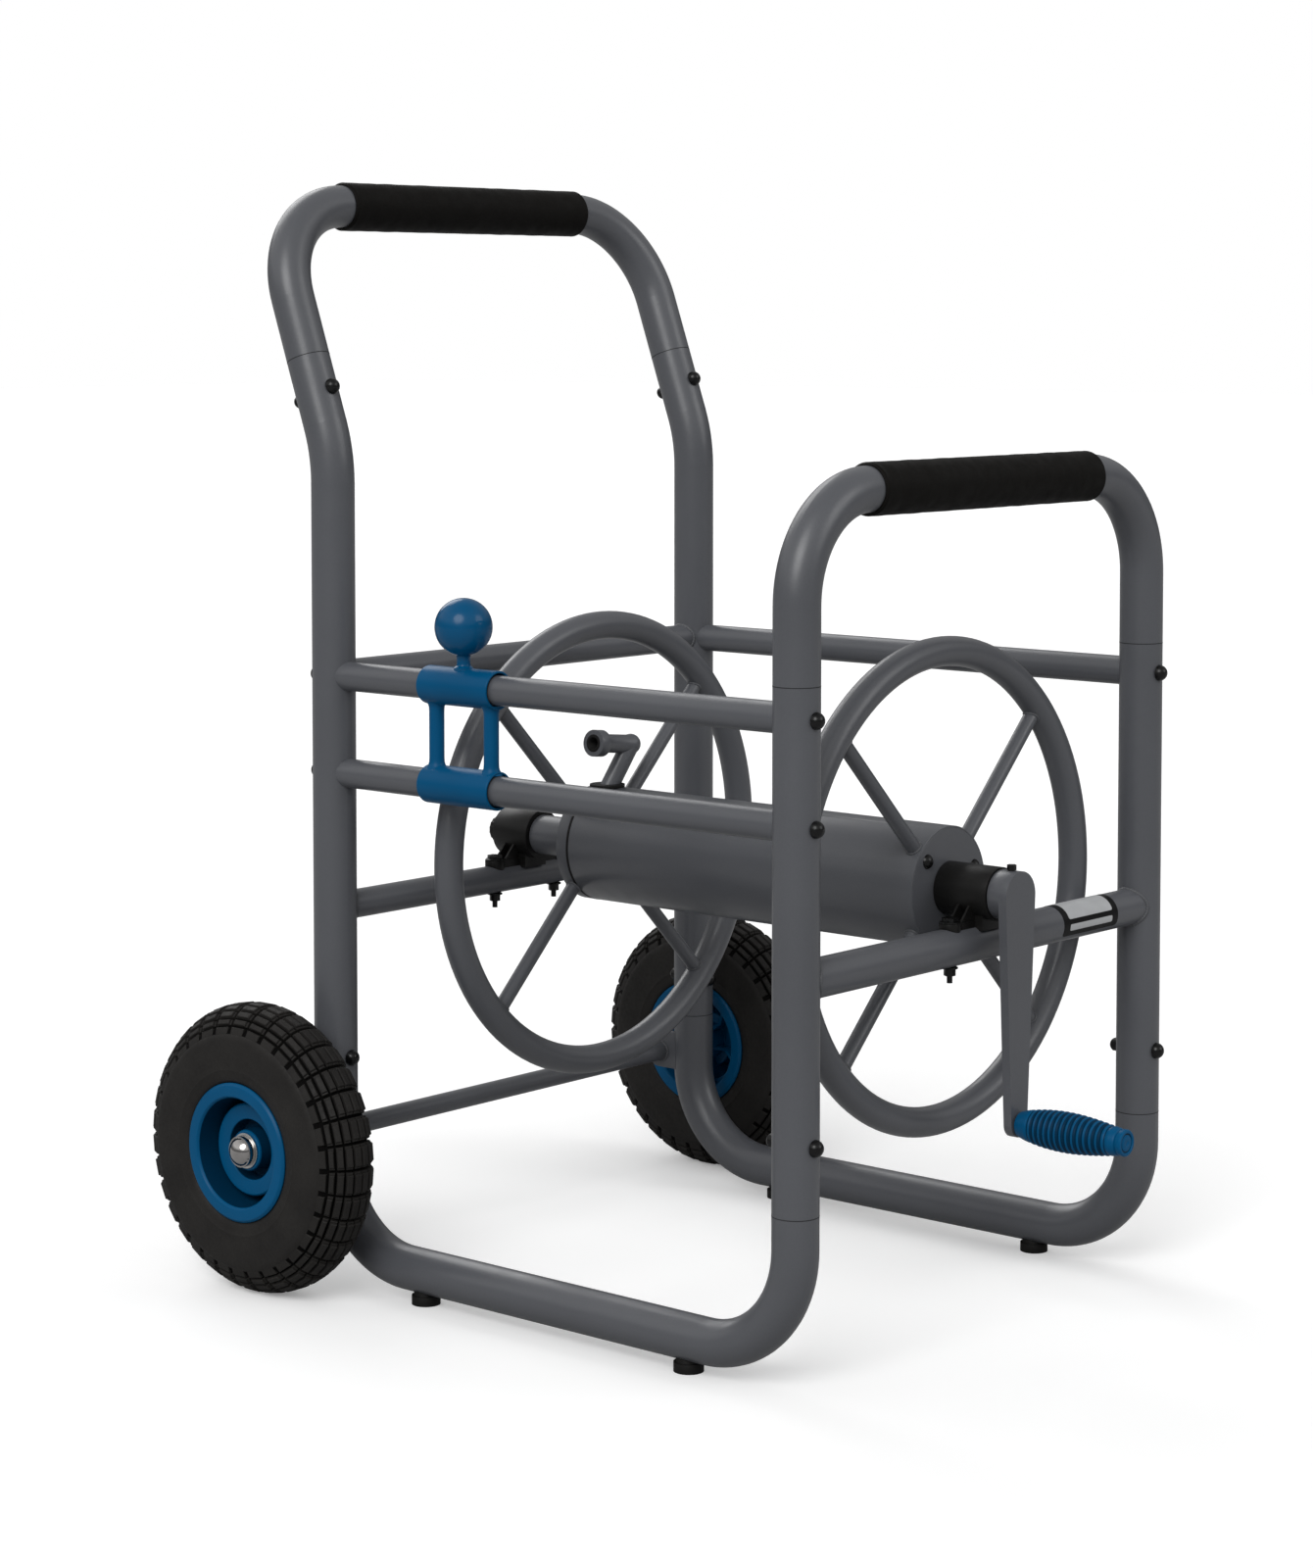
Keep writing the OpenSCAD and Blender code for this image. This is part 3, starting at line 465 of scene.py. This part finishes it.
def tread_point(u, inset):
    """A point of the tyre's section, moved in by inset."""
    here = spline(TREAD, u)
    ahead = spline(TREAD, min(u + 0.02, 7)) - spline(TREAD, max(u - 0.02, 0))
    normal = Vector((ahead.y, -ahead.x)).normalized()
    return here - normal * inset


def tread_depth(u):
    """How deep the grooves are: they fade out over the shoulder."""
    if u < DEPTH_FADES_FROM:
        return TREAD_DEPTH
    return max(0.0, TREAD_DEPTH - (u - DEPTH_FADES_FROM) * DEPTH_FADE)


def tread_block(bm, place, side, u0, u1, turn, half_turn, low, high, chamfer):
    """One block of the tread: low and high are how far its foot and its top lie under the section."""
    across = 3
    levels = []
    mid_r = spline(TREAD, (u0 + u1) / 2).x
    span = (spline(TREAD, u1) - spline(TREAD, u0)).length
    for depth, inset in ((low, -0.25), (high + chamfer, 0), (high, chamfer)):
        du = inset / span * (u1 - u0)
        dt = inset / mid_r
        ring = []
        us = [u0 + du + (u1 - u0 - 2 * du) * k / across for k in range(across + 1)]
        for sign, order in ((-1, us), (1, us[::-1])):
            for u in order:
                p = tread_point(max(u, 0), depth)
                angle = turn + sign * (half_turn - dt)
                ring.append(bm.verts.new(place @ Vector(
                    (p.x * mm * math.cos(angle), p.x * mm * math.sin(angle), side * p.y * mm))))
        levels.append(ring)
    count = len(levels[0])
    for one, two in zip(levels, levels[1:]):
        for k in range(count):
            n = (k + 1) % count
            bm.faces.new((one[k], one[n], two[n], two[k]))
    for ring in (levels[0], levels[-1]):
        for k in range(across):
            bm.faces.new((ring[k], ring[k + 1], ring[count - 2 - k], ring[count - 1 - k]))


def tyre(name, node, body, place):
    """The carcass, whose outer rings are the bottoms of the grooves, darkened as painted shade, and the
    tread's blocks on it.
    """
    bm = bmesh.new()
    grooves, shoulder, steps = 16, 4, 3
    half = [tuple(tread_point(u / steps, tread_depth(u / steps))) for u in range(grooves + shoulder)]
    half += SIDE_WALL
    profile = half[::-1] + [(r, -a) for r, a in half[1:]]
    segments = 4 * PITCHES
    lathe(bm, profile, place, segments, closed=True)
    bm.faces.ensure_lookup_table()
    middle = len(half) - 1
    # the groove bottoms get the near-black rubber: painted shade
    for ring in range(middle - grooves, middle + grooves):
        for face in bm.faces[ring * segments:(ring + 1) * segments]:
            face.material_index = 1
    pitch = 2 * math.pi / PITCHES
    sunk = 0.3
    for k in range(PITCHES):
        turn = -math.pi / 2 + k * pitch
        for side in (-1, 1):
            for u0, u1, lost in COLUMNS:
                tread_block(bm, place, side, u0, u1, turn, pitch * STEP_HALF_WIDTH,
                            tread_depth(u0) + sunk, lost + STEP_DROP, STEP_CHAMFER)
                tread_block(bm, place, side, u0 + TOP_INSET, u1 - TOP_INSET, turn, pitch * TOP_HALF_WIDTH,
                            lost + STEP_DROP + 0.2, lost, TOP_CHAMFER)
            tread_block(bm, place, side, LUG_START, LUG_ENDS[k % 2], turn, pitch * LUG_HALF_WIDTH,
                        LUG_FOOT, LUG_TOP, LUG_CHAMFER)
    obj = piece(name, bm, TYRE, body, [node], 32)
    obj.data.materials.append(TYRE_GROOVE_SHADE)


# The rim's section, from the bore round its outer face, its seat for the tyre and its inner face
RIM_PROFILE = [
    (12.55, 18), (17.2, 18, 0.9), (17.9, 16.2, 0.5), (18.4, -1, 1.6), (25.4, -1, 1.6), (26.6, 13.2, 1.2),
    (39.2, 14.6, 1.6), (40.6, 13, 0.8), (41.4, -8, 2.4), (46.2, -8, 2.4), (47.8, 29.6, 1.2),
    (49.4, 31.5, 1.2), (58.6, 31.5, 1.8), (61, 29.4, 1.2), (60.6, 27.6, 0.6), (52.2, 26.4, 1), (51, 24, 1),
    (51, -24, 1), (52.2, -26.4, 1), (60.6, -27.6, 0.6), (61, -29.4, 1.2), (58.6, -31.5, 1.8),
    (49.4, -31.5, 1.2), (48, -29.6, 1.4), (47.6, -12.4, 2), (39.8, -12.4, 2), (38.4, 9.6, 2), (28.4, 9, 2),
    (27, -5, 1.5), (19, -5, 1.5), (18.2, -26, 0.9), (17.4, -27, 0.5), (12.55, -27),
]
# A stiffening rib behind the rim's disc
RIM_RIB = [(17.6, -3), (27.6, -3), (28.2, 10.5), (38.4, 11), (40.2, -10.4), (47.4, -10.4), (47.7, -22),
           (44, -24), (26, -12), (17.6, -22)]
RIM_RIBS, RIB_THICK, FIRST_RIB_DEGREES = 6, 3.2, 15
# The rim's recesses, coloured darker as painted shade, as (inner radius, outer radius, from, to)
RIM_PAINTED_SHADE_RECESSES = [(40.7, 48.3, -9, 28.6), (17.9, 26.3, -2, 12)]


def plate(bm, outline, place, low, high):
    """A flat rib: outline in the plane of place's X and Z, from low to high along its Y."""
    one, two = [[bm.verts.new(place @ Vector((x * mm, y * mm, z * mm))) for x, z in outline]
                for y in (low, high)]
    bm.faces.new(one)
    bm.faces.new(two)
    for i in range(len(outline)):
        j = (i + 1) % len(outline)
        bm.faces.new((one[i], one[j], two[j], two[i]))


def rim(name, node, body, place):
    """A moulded rim with ribs behind its disc. Its recesses are darker: painted shade."""
    bm = bmesh.new()
    lathe(bm, rounded(RIM_PROFILE), place, 96, closed=True)
    for k in range(RIM_RIBS):
        turn = math.radians(360 / RIM_RIBS * k + FIRST_RIB_DEGREES)
        plate(bm, RIM_RIB, place @ Matrix.Rotation(turn, 4, "Z"), -RIB_THICK / 2, RIB_THICK / 2)
    back = place.inverted()
    for face in bm.faces:
        here = back @ face.calc_center_median()
        r, a = math.hypot(here.x, here.y) / mm, here.z / mm
        # faces in the recesses get the darker blue: painted shade
        sunk = any(r0 < r < r1 and a0 < a < a1 for r0, r1, a0, a1 in RIM_PAINTED_SHADE_RECESSES)
        face.material_index = 1 if sunk else 0
    obj = piece(name, bm, BLUE, body, [node], 40)
    obj.data.materials.append(BLUE_PAINTED_SHADE)


for word, side in (("left", -1), ("right", 1)):
    place = along((side * wheel_x, axle.y, tyre_r), (side, 0, 0))
    tyre(word + "_tread_tyre", word + "_tyre", word + "_wheel", place)
    rim(word + "_moulded_rim", word + "_rim", word + "_wheel", place)


# ---------------------------------------------------------------- foam grips
def foam_grip(name, node, origin):
    """A sleeve of stiff foam on a handle's tube, with rounded ends and a slightly uneven skin."""
    outer = extent("front_grip").z / 2 / mm
    inner = tube_r / mm + 0.03
    half = extent(node).x / 2 / mm
    skin, ripple, end_length, steps = 0.12, 0.1, 3, 70
    bm = bmesh.new()
    end = rounded([(inner, -half + 1), (inner + 0.4, -half, 0.3), (outer - 1.6, -half + 0.2, 0.8),
                   (outer, -half + 2.4, 1.6)])
    wall = [(outer - skin + ripple * math.sin(k * 0.9) * math.sin(k * 0.37),
             -half + end_length + (2 * half - 2 * end_length) * k / steps) for k in range(steps + 1)]
    profile = end + wall + [(r, -a) for r, a in end[::-1]]
    lathe(bm, profile, along(origin, (1, 0, 0)), 72, closed=True)
    swell_size, bore_margin = 0.00012, 0.0008
    for v in bm.verts:
        x, y, z = v.co - Vector(origin)
        swell = swell_size * math.sin(x * 210 + 2 * math.sin(y * 90)) * math.sin(z * 160 + x * 47)
        radial = Vector((0, y, z))
        if radial.length > tube_r + bore_margin:
            v.co += radial.normalized() * swell
    obj = piece(name, bm, FOAM, "frame", [node], 50)


foam_grip("front_foam_grip", "front_grip", centre("front_grip"))
foam_grip("rear_foam_grip", "rear_grip", centre("rear_grip"))


# ---------------------------------------------------------------- crank grip, with its ribs
def crank_grip():
    """The turned grip: a barrel with round ribs, and a plain collar and a plug at its end."""
    low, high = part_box("crank_grip")
    length = (high.y - low.y) / mm
    widest = (high.x - low.x) / 2 / mm
    end_r = 10
    first, last, barrel_end = 0.11, 0.89, 0.93
    ribs, groove = 15, 1.7

    def body_r(t):
        return end_r + (widest - end_r) * math.sin(math.pi * t ** 0.82) ** 0.95

    outline = [(5.1, 0.2), (9.2, 0, 0.4), (body_r(0.012), 1.2)]
    steps = 420
    for k in range(6, int(steps * barrel_end)):
        t = k / steps
        r = body_r(t)
        if first < t < last:
            phase = (t - first) / (last - first) * ribs
            fade = min(1, phase, ribs - phase)
            r -= groove * fade * (0.5 - 0.5 * math.cos(2 * math.pi * phase)) ** 0.55
        outline.append((r, t * length))
    neck = body_r(barrel_end)
    outline += [(neck - 0.4, length * 0.938), (neck - 1.6, length * 0.945), (neck - 1.6, length * 0.953),
                (10.9, length * 0.957), (11.2, length * 0.965), (11.0, length - 0.8), (10.2, length),
                (8.4, length), (7.9, length - 0.6), (7.8, length - 4.4), (5.1, length - 4.5)]
    bm = bmesh.new()
    middle = centre("crank_grip")
    place = along((middle.x, high.y, middle.z), (0, -1, 0))
    lathe(bm, rounded(outline), place, 72, closed=True)
    # the deep grooves between the ribs get the darker blue: painted shade
    back = place.inverted()
    for face in bm.faces:
        here = back @ face.calc_center_median()
        t = here.z / mm / length
        sunk = body_r(min(max(t, 0), 1)) - math.hypot(here.x, here.y) / mm
        face.material_index = 1 if first < t < last and sunk > groove * 0.55 else 0
    obj = piece("ribbed_crank_grip", bm, BLUE, "crank_handle", ["crank_grip"], 34)
    obj.data.materials.append(BLUE_PAINTED_SHADE)

    plug = bmesh.new()
    pin_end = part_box("grip_pin")[0].y
    profile = [(0, 0.55), (2.0, 0.55), (2.6, 0.95, 0.2), (5.2, 0.85, 0.6), (6.8, 0.5, 0.3), (7.0, 0.05),
               (0, 0.05)]
    lathe(plug, rounded(profile), along((middle.x, pin_end, middle.z), (0, -1, 0)), 56)
    piece("grip_end_plug", plug, BLUE, "crank_handle", (), 34)


crank_grip()


# ---------------------------------------------------------------- hose guide and its knob
def hose_guide():
    """A sleeve on each left rail, with two columns between them."""
    low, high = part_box("hose_guide")
    half = (high.y - low.y) / 2 / mm
    middle_y = (high.y + low.y) / 2
    outer = (high.x - low.x) / 2 / mm
    bore = rail_r / mm + 0.08
    bm = bmesh.new()
    for z in (lower_rail_z, upper_rail_z):
        sleeve = [(bore, -half + 9), (outer - 2.4, -half + 7, 0.5), (outer - 1.9, -half, 0.6),
                  (outer, -half + 0.2, 1.2), (outer + 0.02, 0), (outer, half - 0.2, 1.2),
                  (outer - 1.9, half, 0.6), (outer - 2.4, half - 7, 0.5), (bore, half - 9)]
        lathe(bm, rounded(sleeve), along((-post_x, middle_y, z), (0, 1, 0)), 72, closed=True)
    column_y = 0.032
    bottom, top = lower_rail_z / mm + outer, upper_rail_z / mm - outer
    flare = [(0, -3.4), (10, -3.4), (8.6, -1.6), (7.3, 0.4), (6.7, 2.6), (6.5, 6)]
    column = [(r, bottom + z) for r, z in flare] + [(r, top - z) for r, z in flare[::-1]]
    for y in (-column_y, column_y):
        lathe(bm, column, along((-post_x, middle_y + y, 0), (0, 0, 1)), 40)
    piece("moulded_hose_guide", bm, BLUE, "guide", ["hose_guide"], 40)


def ball_knob():
    """A ball on a short neck, on top of the guide's upper sleeve."""
    low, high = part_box("guide_knob")
    ball = (high.x - low.x) / 2 / mm
    ball_z = high.z / mm - ball
    base = (upper_rail_z + extent("hose_guide").x / 2) / mm
    start = math.asin(6.6 / ball)
    neck_top = ball_z - ball * math.cos(start)
    outline = [(0, base - 2.5), (8.4, base - 2.5), (8.4, base + 0.3), (7.6, base + 1.1), (6.3, base + 1.9),
               (5.8, base + 3.5), (5.8, neck_top - 2.2), (6.2, neck_top - 0.6)]
    steps = 60
    for k in range(steps):
        t = start + (math.pi - start) * k / steps
        outline.append((ball * math.sin(t), ball_z - ball * math.cos(t)))
    outline.append((0, high.z / mm))
    bm = bmesh.new()
    lathe(bm, outline, along((-post_x, centre("hose_guide").y, 0), (0, 0, 1)), 88)
    piece("ball_knob", bm, GLOSSY_BLUE, "guide", ["guide_knob"], 40)


hose_guide()
ball_knob()


# ---------------------------------------------------------------- blank label on the front crossbar
def label_panel(name, x0, x1, angle0, angle1, radius, thick, corner, material, replaces=()):
    """A sheet with round corners, wrapped round the crossbar. Angles are up from the front."""
    bar = centre("front_crossbar")
    arc = math.radians(angle1 - angle0) * radius
    width = x1 - x0
    rows, corner_steps = 24, 5
    into_corner = [corner * (1 - math.cos(math.pi / 2 * k / corner_steps)) for k in range(corner_steps + 1)]
    grid_x = sorted({0, width, *into_corner, *[width - x for x in into_corner]})
    bm = bmesh.new()
    layers = []
    for r in (radius, radius + thick):
        columns = []
        for x in grid_x:
            edge = min(x, width - x)
            cut = 0 if edge >= corner else corner - math.sqrt(max(corner ** 2 - (corner - edge) ** 2, 0))
            column = []
            for k in range(rows + 1):
                s = cut + (arc - 2 * cut) * k / rows
                turn = math.radians(angle0) + s / radius
                column.append(bm.verts.new((x0 + x, bar.y - r * math.cos(turn), bar.z + r * math.sin(turn))))
            columns.append(column)
        layers.append(columns)
    last = len(grid_x) - 1
    for columns in layers:
        for i in range(last):
            for k in range(rows):
                bm.faces.new((columns[i][k], columns[i + 1][k], columns[i + 1][k + 1], columns[i][k + 1]))
    edge_points = ([(i, 0) for i in range(last)] + [(last, k) for k in range(rows)]
                   + [(i, rows) for i in range(last, 0, -1)] + [(0, k) for k in range(rows, 0, -1)])
    for (i, k), (j, n) in zip(edge_points, edge_points[1:] + edge_points[:1]):
        bm.faces.new((layers[0][i][k], layers[0][j][n], layers[1][j][n], layers[1][i][k]))
    piece(name, bm, material, "frame", replaces, 30)


label_low, label_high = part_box("blank_label")
bar_r = extent("front_crossbar").z / 2
left, right = label_low.x, label_high.x
panel_r, panel_thick = bar_r + 0.00024, 0.00012
label_panel("label_backing", left, right, -35, 115, bar_r + 0.00003, 0.00022, 0.003, LABEL_BLACK,
            ["blank_label"])
label_panel("label_main_panel", left + 0.008, right - 0.008, 19, 108, panel_r, panel_thick, 0.002,
            LABEL_SILVER)
label_panel("label_lower_panel", left + 0.009, right - 0.009, -17, 3, panel_r, panel_thick, 0.0015,
            LABEL_SILVER)


# ---------------------------------------------------------------- welds
def crossbar_welds():
    """Where the crossbars meet the frame's uprights."""
    bm = bmesh.new()
    for node, y in (("front_crossbar", front_y), ("rear_crossbar", rear_y), ("rear_top_crossbar", rear_y)):
        r = extent(node).z / 2
        for side in (-1, 1):
            origin = (side * post_x, y, centre(node).z)
            weld(bm, saddle(r, tube_r, origin, (-side, 0, 0), (0, 0, 1), 0.0004), 0.0016)
    piece("crossbar_welds", bm, WELD, "frame", (), 60)


def axle_welds():
    """Where the axle tube passes through its brackets: a bead on each side of their plates."""
    bm = bmesh.new()
    bead_r = extent("axle_tube").z / 2 + 0.0004
    bracket_x, steps = post_x - 0.017, 40
    for side in (-1, 1):
        for x in (bracket_x - 0.0004, bracket_x + 0.0054):
            turns = [2 * math.pi * k / steps for k in range(steps)]
            points = [Vector((side * x, axle.y + bead_r * math.cos(t), tyre_r + bead_r * math.sin(t)))
                      for t in turns]
            weld(bm, points, 0.0013)
    piece("axle_welds", bm, WELD, "frame", (), 60)


def spoke_welds():
    """Where the spokes meet the drum and the rings."""
    bm = bmesh.new()
    drum_r = extent("drum").x / 2
    ring_tube = extent("front_ring").y / 2
    ring_r = extent("front_ring").x / 2 - ring_tube
    spoke_r = 0.0065
    for node in ("front_ring", "rear_ring"):
        middle = centre(node)
        for degrees in (45, 135, 225, 315):
            turn = math.radians(degrees)
            radial = Vector((math.cos(turn), 0, math.sin(turn)))
            tangent = Vector((-math.sin(turn), 0, math.cos(turn)))
            weld(bm, saddle(spoke_r, drum_r, middle, radial, (0, 1, 0), 0.0003), 0.0012)
            weld(bm, saddle(spoke_r, ring_tube, middle + radial * ring_r, -radial, tangent, 0.0003), 0.0012)
    piece("spoke_welds", bm, WELD, "reel", (), 60)


crossbar_welds()
axle_welds()
spoke_welds()


# ---------------------------------------------------------------- seams between the frame's tubes
KINK_Z, KINK_TO_SEAM, REAR_TILT = 0.7315, 0.088, math.radians(19.9)  # the rear uprights' lean


def seams():
    """A thin dark line round each joint between two tubes: painted shadow of the gap."""
    bm = bmesh.new()
    r = tube_r / mm
    line = [(r - 0.4, -0.35), (r + 0.1, -0.35), (r + 0.14, 0), (r + 0.1, 0.35), (r - 0.4, 0.35)]
    upright = Vector((0, 0, 1))
    slope = Vector((0, math.sin(REAR_TILT), math.cos(REAR_TILT)))
    front_low, front_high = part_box("front_left_post")
    rear_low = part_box("rear_left_post")[0]
    for side in (-1, 1):
        x = side * post_x
        for origin, axis in (((x, front_y, front_low.z), upright), ((x, front_y, front_high.z), upright),
                             ((x, rear_y, rear_low.z), upright),
                             (Vector((x, rear_y, KINK_Z)) + slope * KINK_TO_SEAM, slope)):
            lathe(bm, line, along(origin, axis), 64, closed=True)
    piece("tube_seams", bm, SEAM_SHADOW, "frame", (), 60)


seams()


# ---------------------------------------------------------------- the bearings' ribs and washers
# A rib between a bearing's base and its sleeve, as (distance from the middle, height above the reel's axis)
BEARING_RIB = [(12, -22.2), (32.4, -22.2), (31.6, -20.4), (22.6, -10.6), (19, -6.6), (12, -6.6)]
RIB_STARTS, RIB_WIDTH = (-6.4, 4.4), 2
BOLT_HEAD_R, BOLT_HEAD_HEIGHT = 7, 4.5


def bearing_ribs():
    bm = bmesh.new()
    for y in (front_y, rear_y):
        place = Matrix.Translation((0, y, reel.z))
        for side in (-1, 1):
            outline = [(side * x, z) for x, z in BEARING_RIB]
            for start in RIB_STARTS:
                plate(bm, outline, place, start, start + RIB_WIDTH)
    piece("bearing_ribs", bm, BLACK_PLASTIC, "frame", (), 30)


def bearing_washers():
    """A washer under each bolt that holds a bearing down."""
    bm = bmesh.new()
    low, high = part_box("bearing_bolts")
    bolt_x = (high.x - low.x) / 2 - BOLT_HEAD_R * mm
    seat = high.z - BOLT_HEAD_HEIGHT * mm
    ring = [(2.6, 0), (8.2, 0), (8.6, 0.3), (8.6, 1.1), (8.2, 1.4), (2.6, 1.4)]
    for y in (front_y, rear_y):
        for x in (-bolt_x, bolt_x):
            lathe(bm, ring, along((x, y, seat), (0, 0, 1)), 40, closed=True)
    piece("bearing_washers", bm, BLACK_METAL, "frame", (), 40)


bearing_ribs()
bearing_washers()


# ---------------------------------------------------------------- the drum's gasket, and the ports
def drum_gasket():
    """The dark gasket between the drum and its rear cap."""
    low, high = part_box("drum")
    r = (high.x - low.x) / 2 / mm
    bm = bmesh.new()
    gasket = [(r - 2, -0.5), (r + 0.1, -0.5), (r + 0.2, 0), (r + 0.2, 1.6), (r + 0.1, 2.1), (r - 2, 2.1)]
    lathe(bm, gasket, along((0, high.y, reel.z), (0, 1, 0)), 120, closed=True)
    piece("drum_gasket", bm, RUBBER, "reel", (), 40)


def outlet_mouth():
    """The threaded black insert in the outlet's collar."""
    low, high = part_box("outlet_pipe")
    collar_r = (high.y - low.y) / 2
    elbow_r, reach, rise = 0.0094, 0.051, math.radians(6)
    ahead = Vector((-math.cos(rise), 0, math.sin(rise)))
    tip = Vector((high.x - elbow_r - reach * math.cos(rise), (low.y + high.y) / 2,
                  high.z - collar_r * math.cos(rise)))
    profile = [(5.48, 24), (5.48, 0.6), (7.6, 0.4), (8.0, 0), (7.9, -0.4), (7.2, -0.6), (5.7, -0.5), (5.2, 0)]
    threads, thread_pitch = 8, 2.2
    for turn in range(threads):
        start = 0.9 + turn * thread_pitch
        profile += [(5.2, start), (4.6, start + 0.7), (4.6, start + 1.2), (5.2, start + 1.9)]
    profile.append((4.9, 24))
    bm = bmesh.new()
    lathe(bm, profile, along(tip, -ahead), 56, closed=True)
    piece("outlet_thread", bm, RUBBER, "reel", (), 40)


def swivel_coupling():
    """The supply hose's coupling behind the rear bearing, with finger grooves round it."""
    low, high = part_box("inlet_swivel")
    outer = (high.x - low.x) / 2 / mm
    length = (high.y - low.y) / mm
    bm = bmesh.new()
    profile = [(10.3, 0), (outer - 0.9, 0, 0.6), (outer - 0.7, 2.4, 0.5), (outer - 2.2, 3.0, 0.4),
               (outer - 2.2, 4.2, 0.4), (outer, 4.8, 0.6), (outer, length - 0.2, 0.9),
               (outer - 1.6, length, 0.6), (6.9, length - 0.1, 0.6), (6.3, length - 1.4, 0.4),
               (5.6, length - 2), (5.6, 7.6), (10.3, 7.4)]
    place = along((centre("inlet_swivel").x, low.y, reel.z), (0, 1, 0))
    lathe(bm, rounded(profile), place, 96, closed=True)
    grooves, groove_depth, grooves_from = 16, 0.55, 4.6
    back = place.inverted()
    for v in bm.verts:
        here = back @ v.co
        r = math.hypot(here.x, here.y) / mm
        if r > outer - 0.6 and here.z > grooves_from * mm:
            turn = math.atan2(here.y, here.x)
            factor = (r - groove_depth * (0.5 + 0.5 * math.cos(turn * grooves))) / r
            v.co = place @ Vector((here.x * factor, here.y * factor, here.z))
    piece("swivel_coupling", bm, BLACK_PLASTIC, "inlet", ["inlet_swivel"], 40)


drum_gasket()
outlet_mouth()
swivel_coupling()

# ---------------------------------------------------------------- soft edges on CAD nodes
SOFT_EDGES = {  # widths in millimetres
    "crank_arm": 1.6, "front_bearing": 0.8, "rear_bearing": 0.8, "axle_brackets": 0.7, "feet": 0.8,
    "front_end_plate": 0.3, "drum": 0.7, "rear_end_cap": 0.5, "outlet_pipe": 0.7, "axle_washers": 0.3,
    "bearing_bolts": 0.5, "bearing_nuts": 0.5, "axle_cap_nuts": 0.6, "outlet_gasket": 0.6,
}
for name, width in SOFT_EDGES.items():
    soften(name, width)


# ---------------------------------------------------------------- camera
camera = bpy.data.objects.new("camera", bpy.data.cameras.new("camera"))
scene.collection.objects.link(camera)
scene.camera = camera
camera.data.lens = 81.03
camera.data.sensor_width = 36
camera.data.shift_y = -0.1588
azimuth, pitch = 0.85776, 0.0624
camera.location = (-2.384, -1.9685, 0.8527)
looking = Vector((math.sin(azimuth) * math.cos(pitch), math.cos(azimuth) * math.cos(pitch), -math.sin(pitch)))
camera.rotation_mode = "QUATERNION"
camera.rotation_quaternion = looking.to_track_quat("-Z", "Y")
camera.data.clip_end = 60


# ---------------------------------------------------------------- floor and light
def plain_floor():
    """A pale floor. It bounces less light than it shows, as a floor under soft boxes does."""
    size = 30
    mesh = bpy.data.meshes.new("floor")
    bm = bmesh.new()
    bmesh.ops.create_grid(bm, x_segments=4, y_segments=4, size=size)
    bm.to_mesh(mesh)
    bm.free()
    floor = bpy.data.objects.new("floor", mesh)
    scene.collection.objects.link(floor)
    n = Nodes("floor")
    n.to("Base Color", (0.9, 0.9, 0.9, 1))
    n.to("Roughness", 0.9)
    n.to("Specular IOR Level", 0.0)
    n.to("Emission Color", (1, 1, 1, 1))
    n.to("Emission Strength", 0.22)
    bounce = n.add("ShaderNodeBsdfDiffuse", Color=(0.42, 0.42, 0.42, 1))
    seen = n.add("ShaderNodeLightPath")
    mix = n.add("ShaderNodeMixShader")
    n.link(seen.outputs["Is Camera Ray"], mix.inputs[0])
    n.link(bounce.outputs[0], mix.inputs[1])
    n.link(n.shader.outputs[0], mix.inputs[2])
    n.link(mix.outputs[0], n.tree.nodes["Material Output"].inputs["Surface"])
    floor.data.materials.append(n.material)


def studio_world():
    """Soft light from part way up, strongest from -X, over a dim horizon. The camera sees plain white."""
    world = bpy.data.worlds.new("studio")
    scene.world = world
    world.use_nodes = True
    tree = world.node_tree
    link = tree.links.new
    where = tree.nodes.new("ShaderNodeTexCoord")
    split = tree.nodes.new("ShaderNodeSeparateXYZ")
    link(where.outputs["Generated"], split.inputs[0])
    height = tree.nodes.new("ShaderNodeValToRGB")
    link(split.outputs["Z"], height.inputs["Fac"])
    stops = height.color_ramp.elements
    for position, value in ((0.0, 0.1), (0.16, 0.14), (0.36, 0.62), (0.7, 0.6), (1.0, 0.3)):
        stop = stops[0] if position == 0 else stops[-1] if position == 1 else stops.new(position)
        stop.position = position
        stop.color = (value, value, value, 1)
    side = tree.nodes.new("ShaderNodeMapRange")
    for key, value in (("From Min", -1), ("From Max", 1), ("To Min", 1.5), ("To Max", 0.66)):
        side.inputs[key].default_value = value
    link(split.outputs["X"], side.inputs["Value"])
    sky = tree.nodes.new("ShaderNodeMix")
    sky.data_type = "RGBA"
    sky.blend_type = "MULTIPLY"
    sky.inputs[0].default_value = 1
    link(height.outputs["Color"], sky.inputs[MIX_A])
    link(side.outputs["Result"], sky.inputs[MIX_B])
    seen = tree.nodes.new("ShaderNodeLightPath")
    choose = tree.nodes.new("ShaderNodeMix")
    choose.data_type = "RGBA"
    choose.inputs[MIX_B].default_value = (1, 1, 1, 1)
    link(seen.outputs["Is Camera Ray"], choose.inputs[0])
    link(sky.outputs[MIX_RESULT], choose.inputs[MIX_A])
    link(choose.outputs[MIX_RESULT], tree.nodes["Background"].inputs["Color"])


def soft_sun(name, place, strength, angle):
    """A broad, even light from a far place: its floor stays the same shade all over."""
    data = bpy.data.lights.new(name, "SUN")
    data.energy = strength
    data.angle = math.radians(angle)
    obj = bpy.data.objects.new(name, data)
    scene.collection.objects.link(obj)
    obj.location = place
    obj.rotation_mode = "QUATERNION"
    obj.rotation_quaternion = (-Vector(place)).to_track_quat("-Z", "Y")


plain_floor()
studio_world()
soft_sun("key", (-2.4, -0.9, 1.9), 1.5, 36)
soft_sun("front_fill", (1.2, -2.4, 1.3), 0.45, 30)
soft_sun("back_fill", (1.0, 2.4, 1.7), 0.7, 36)
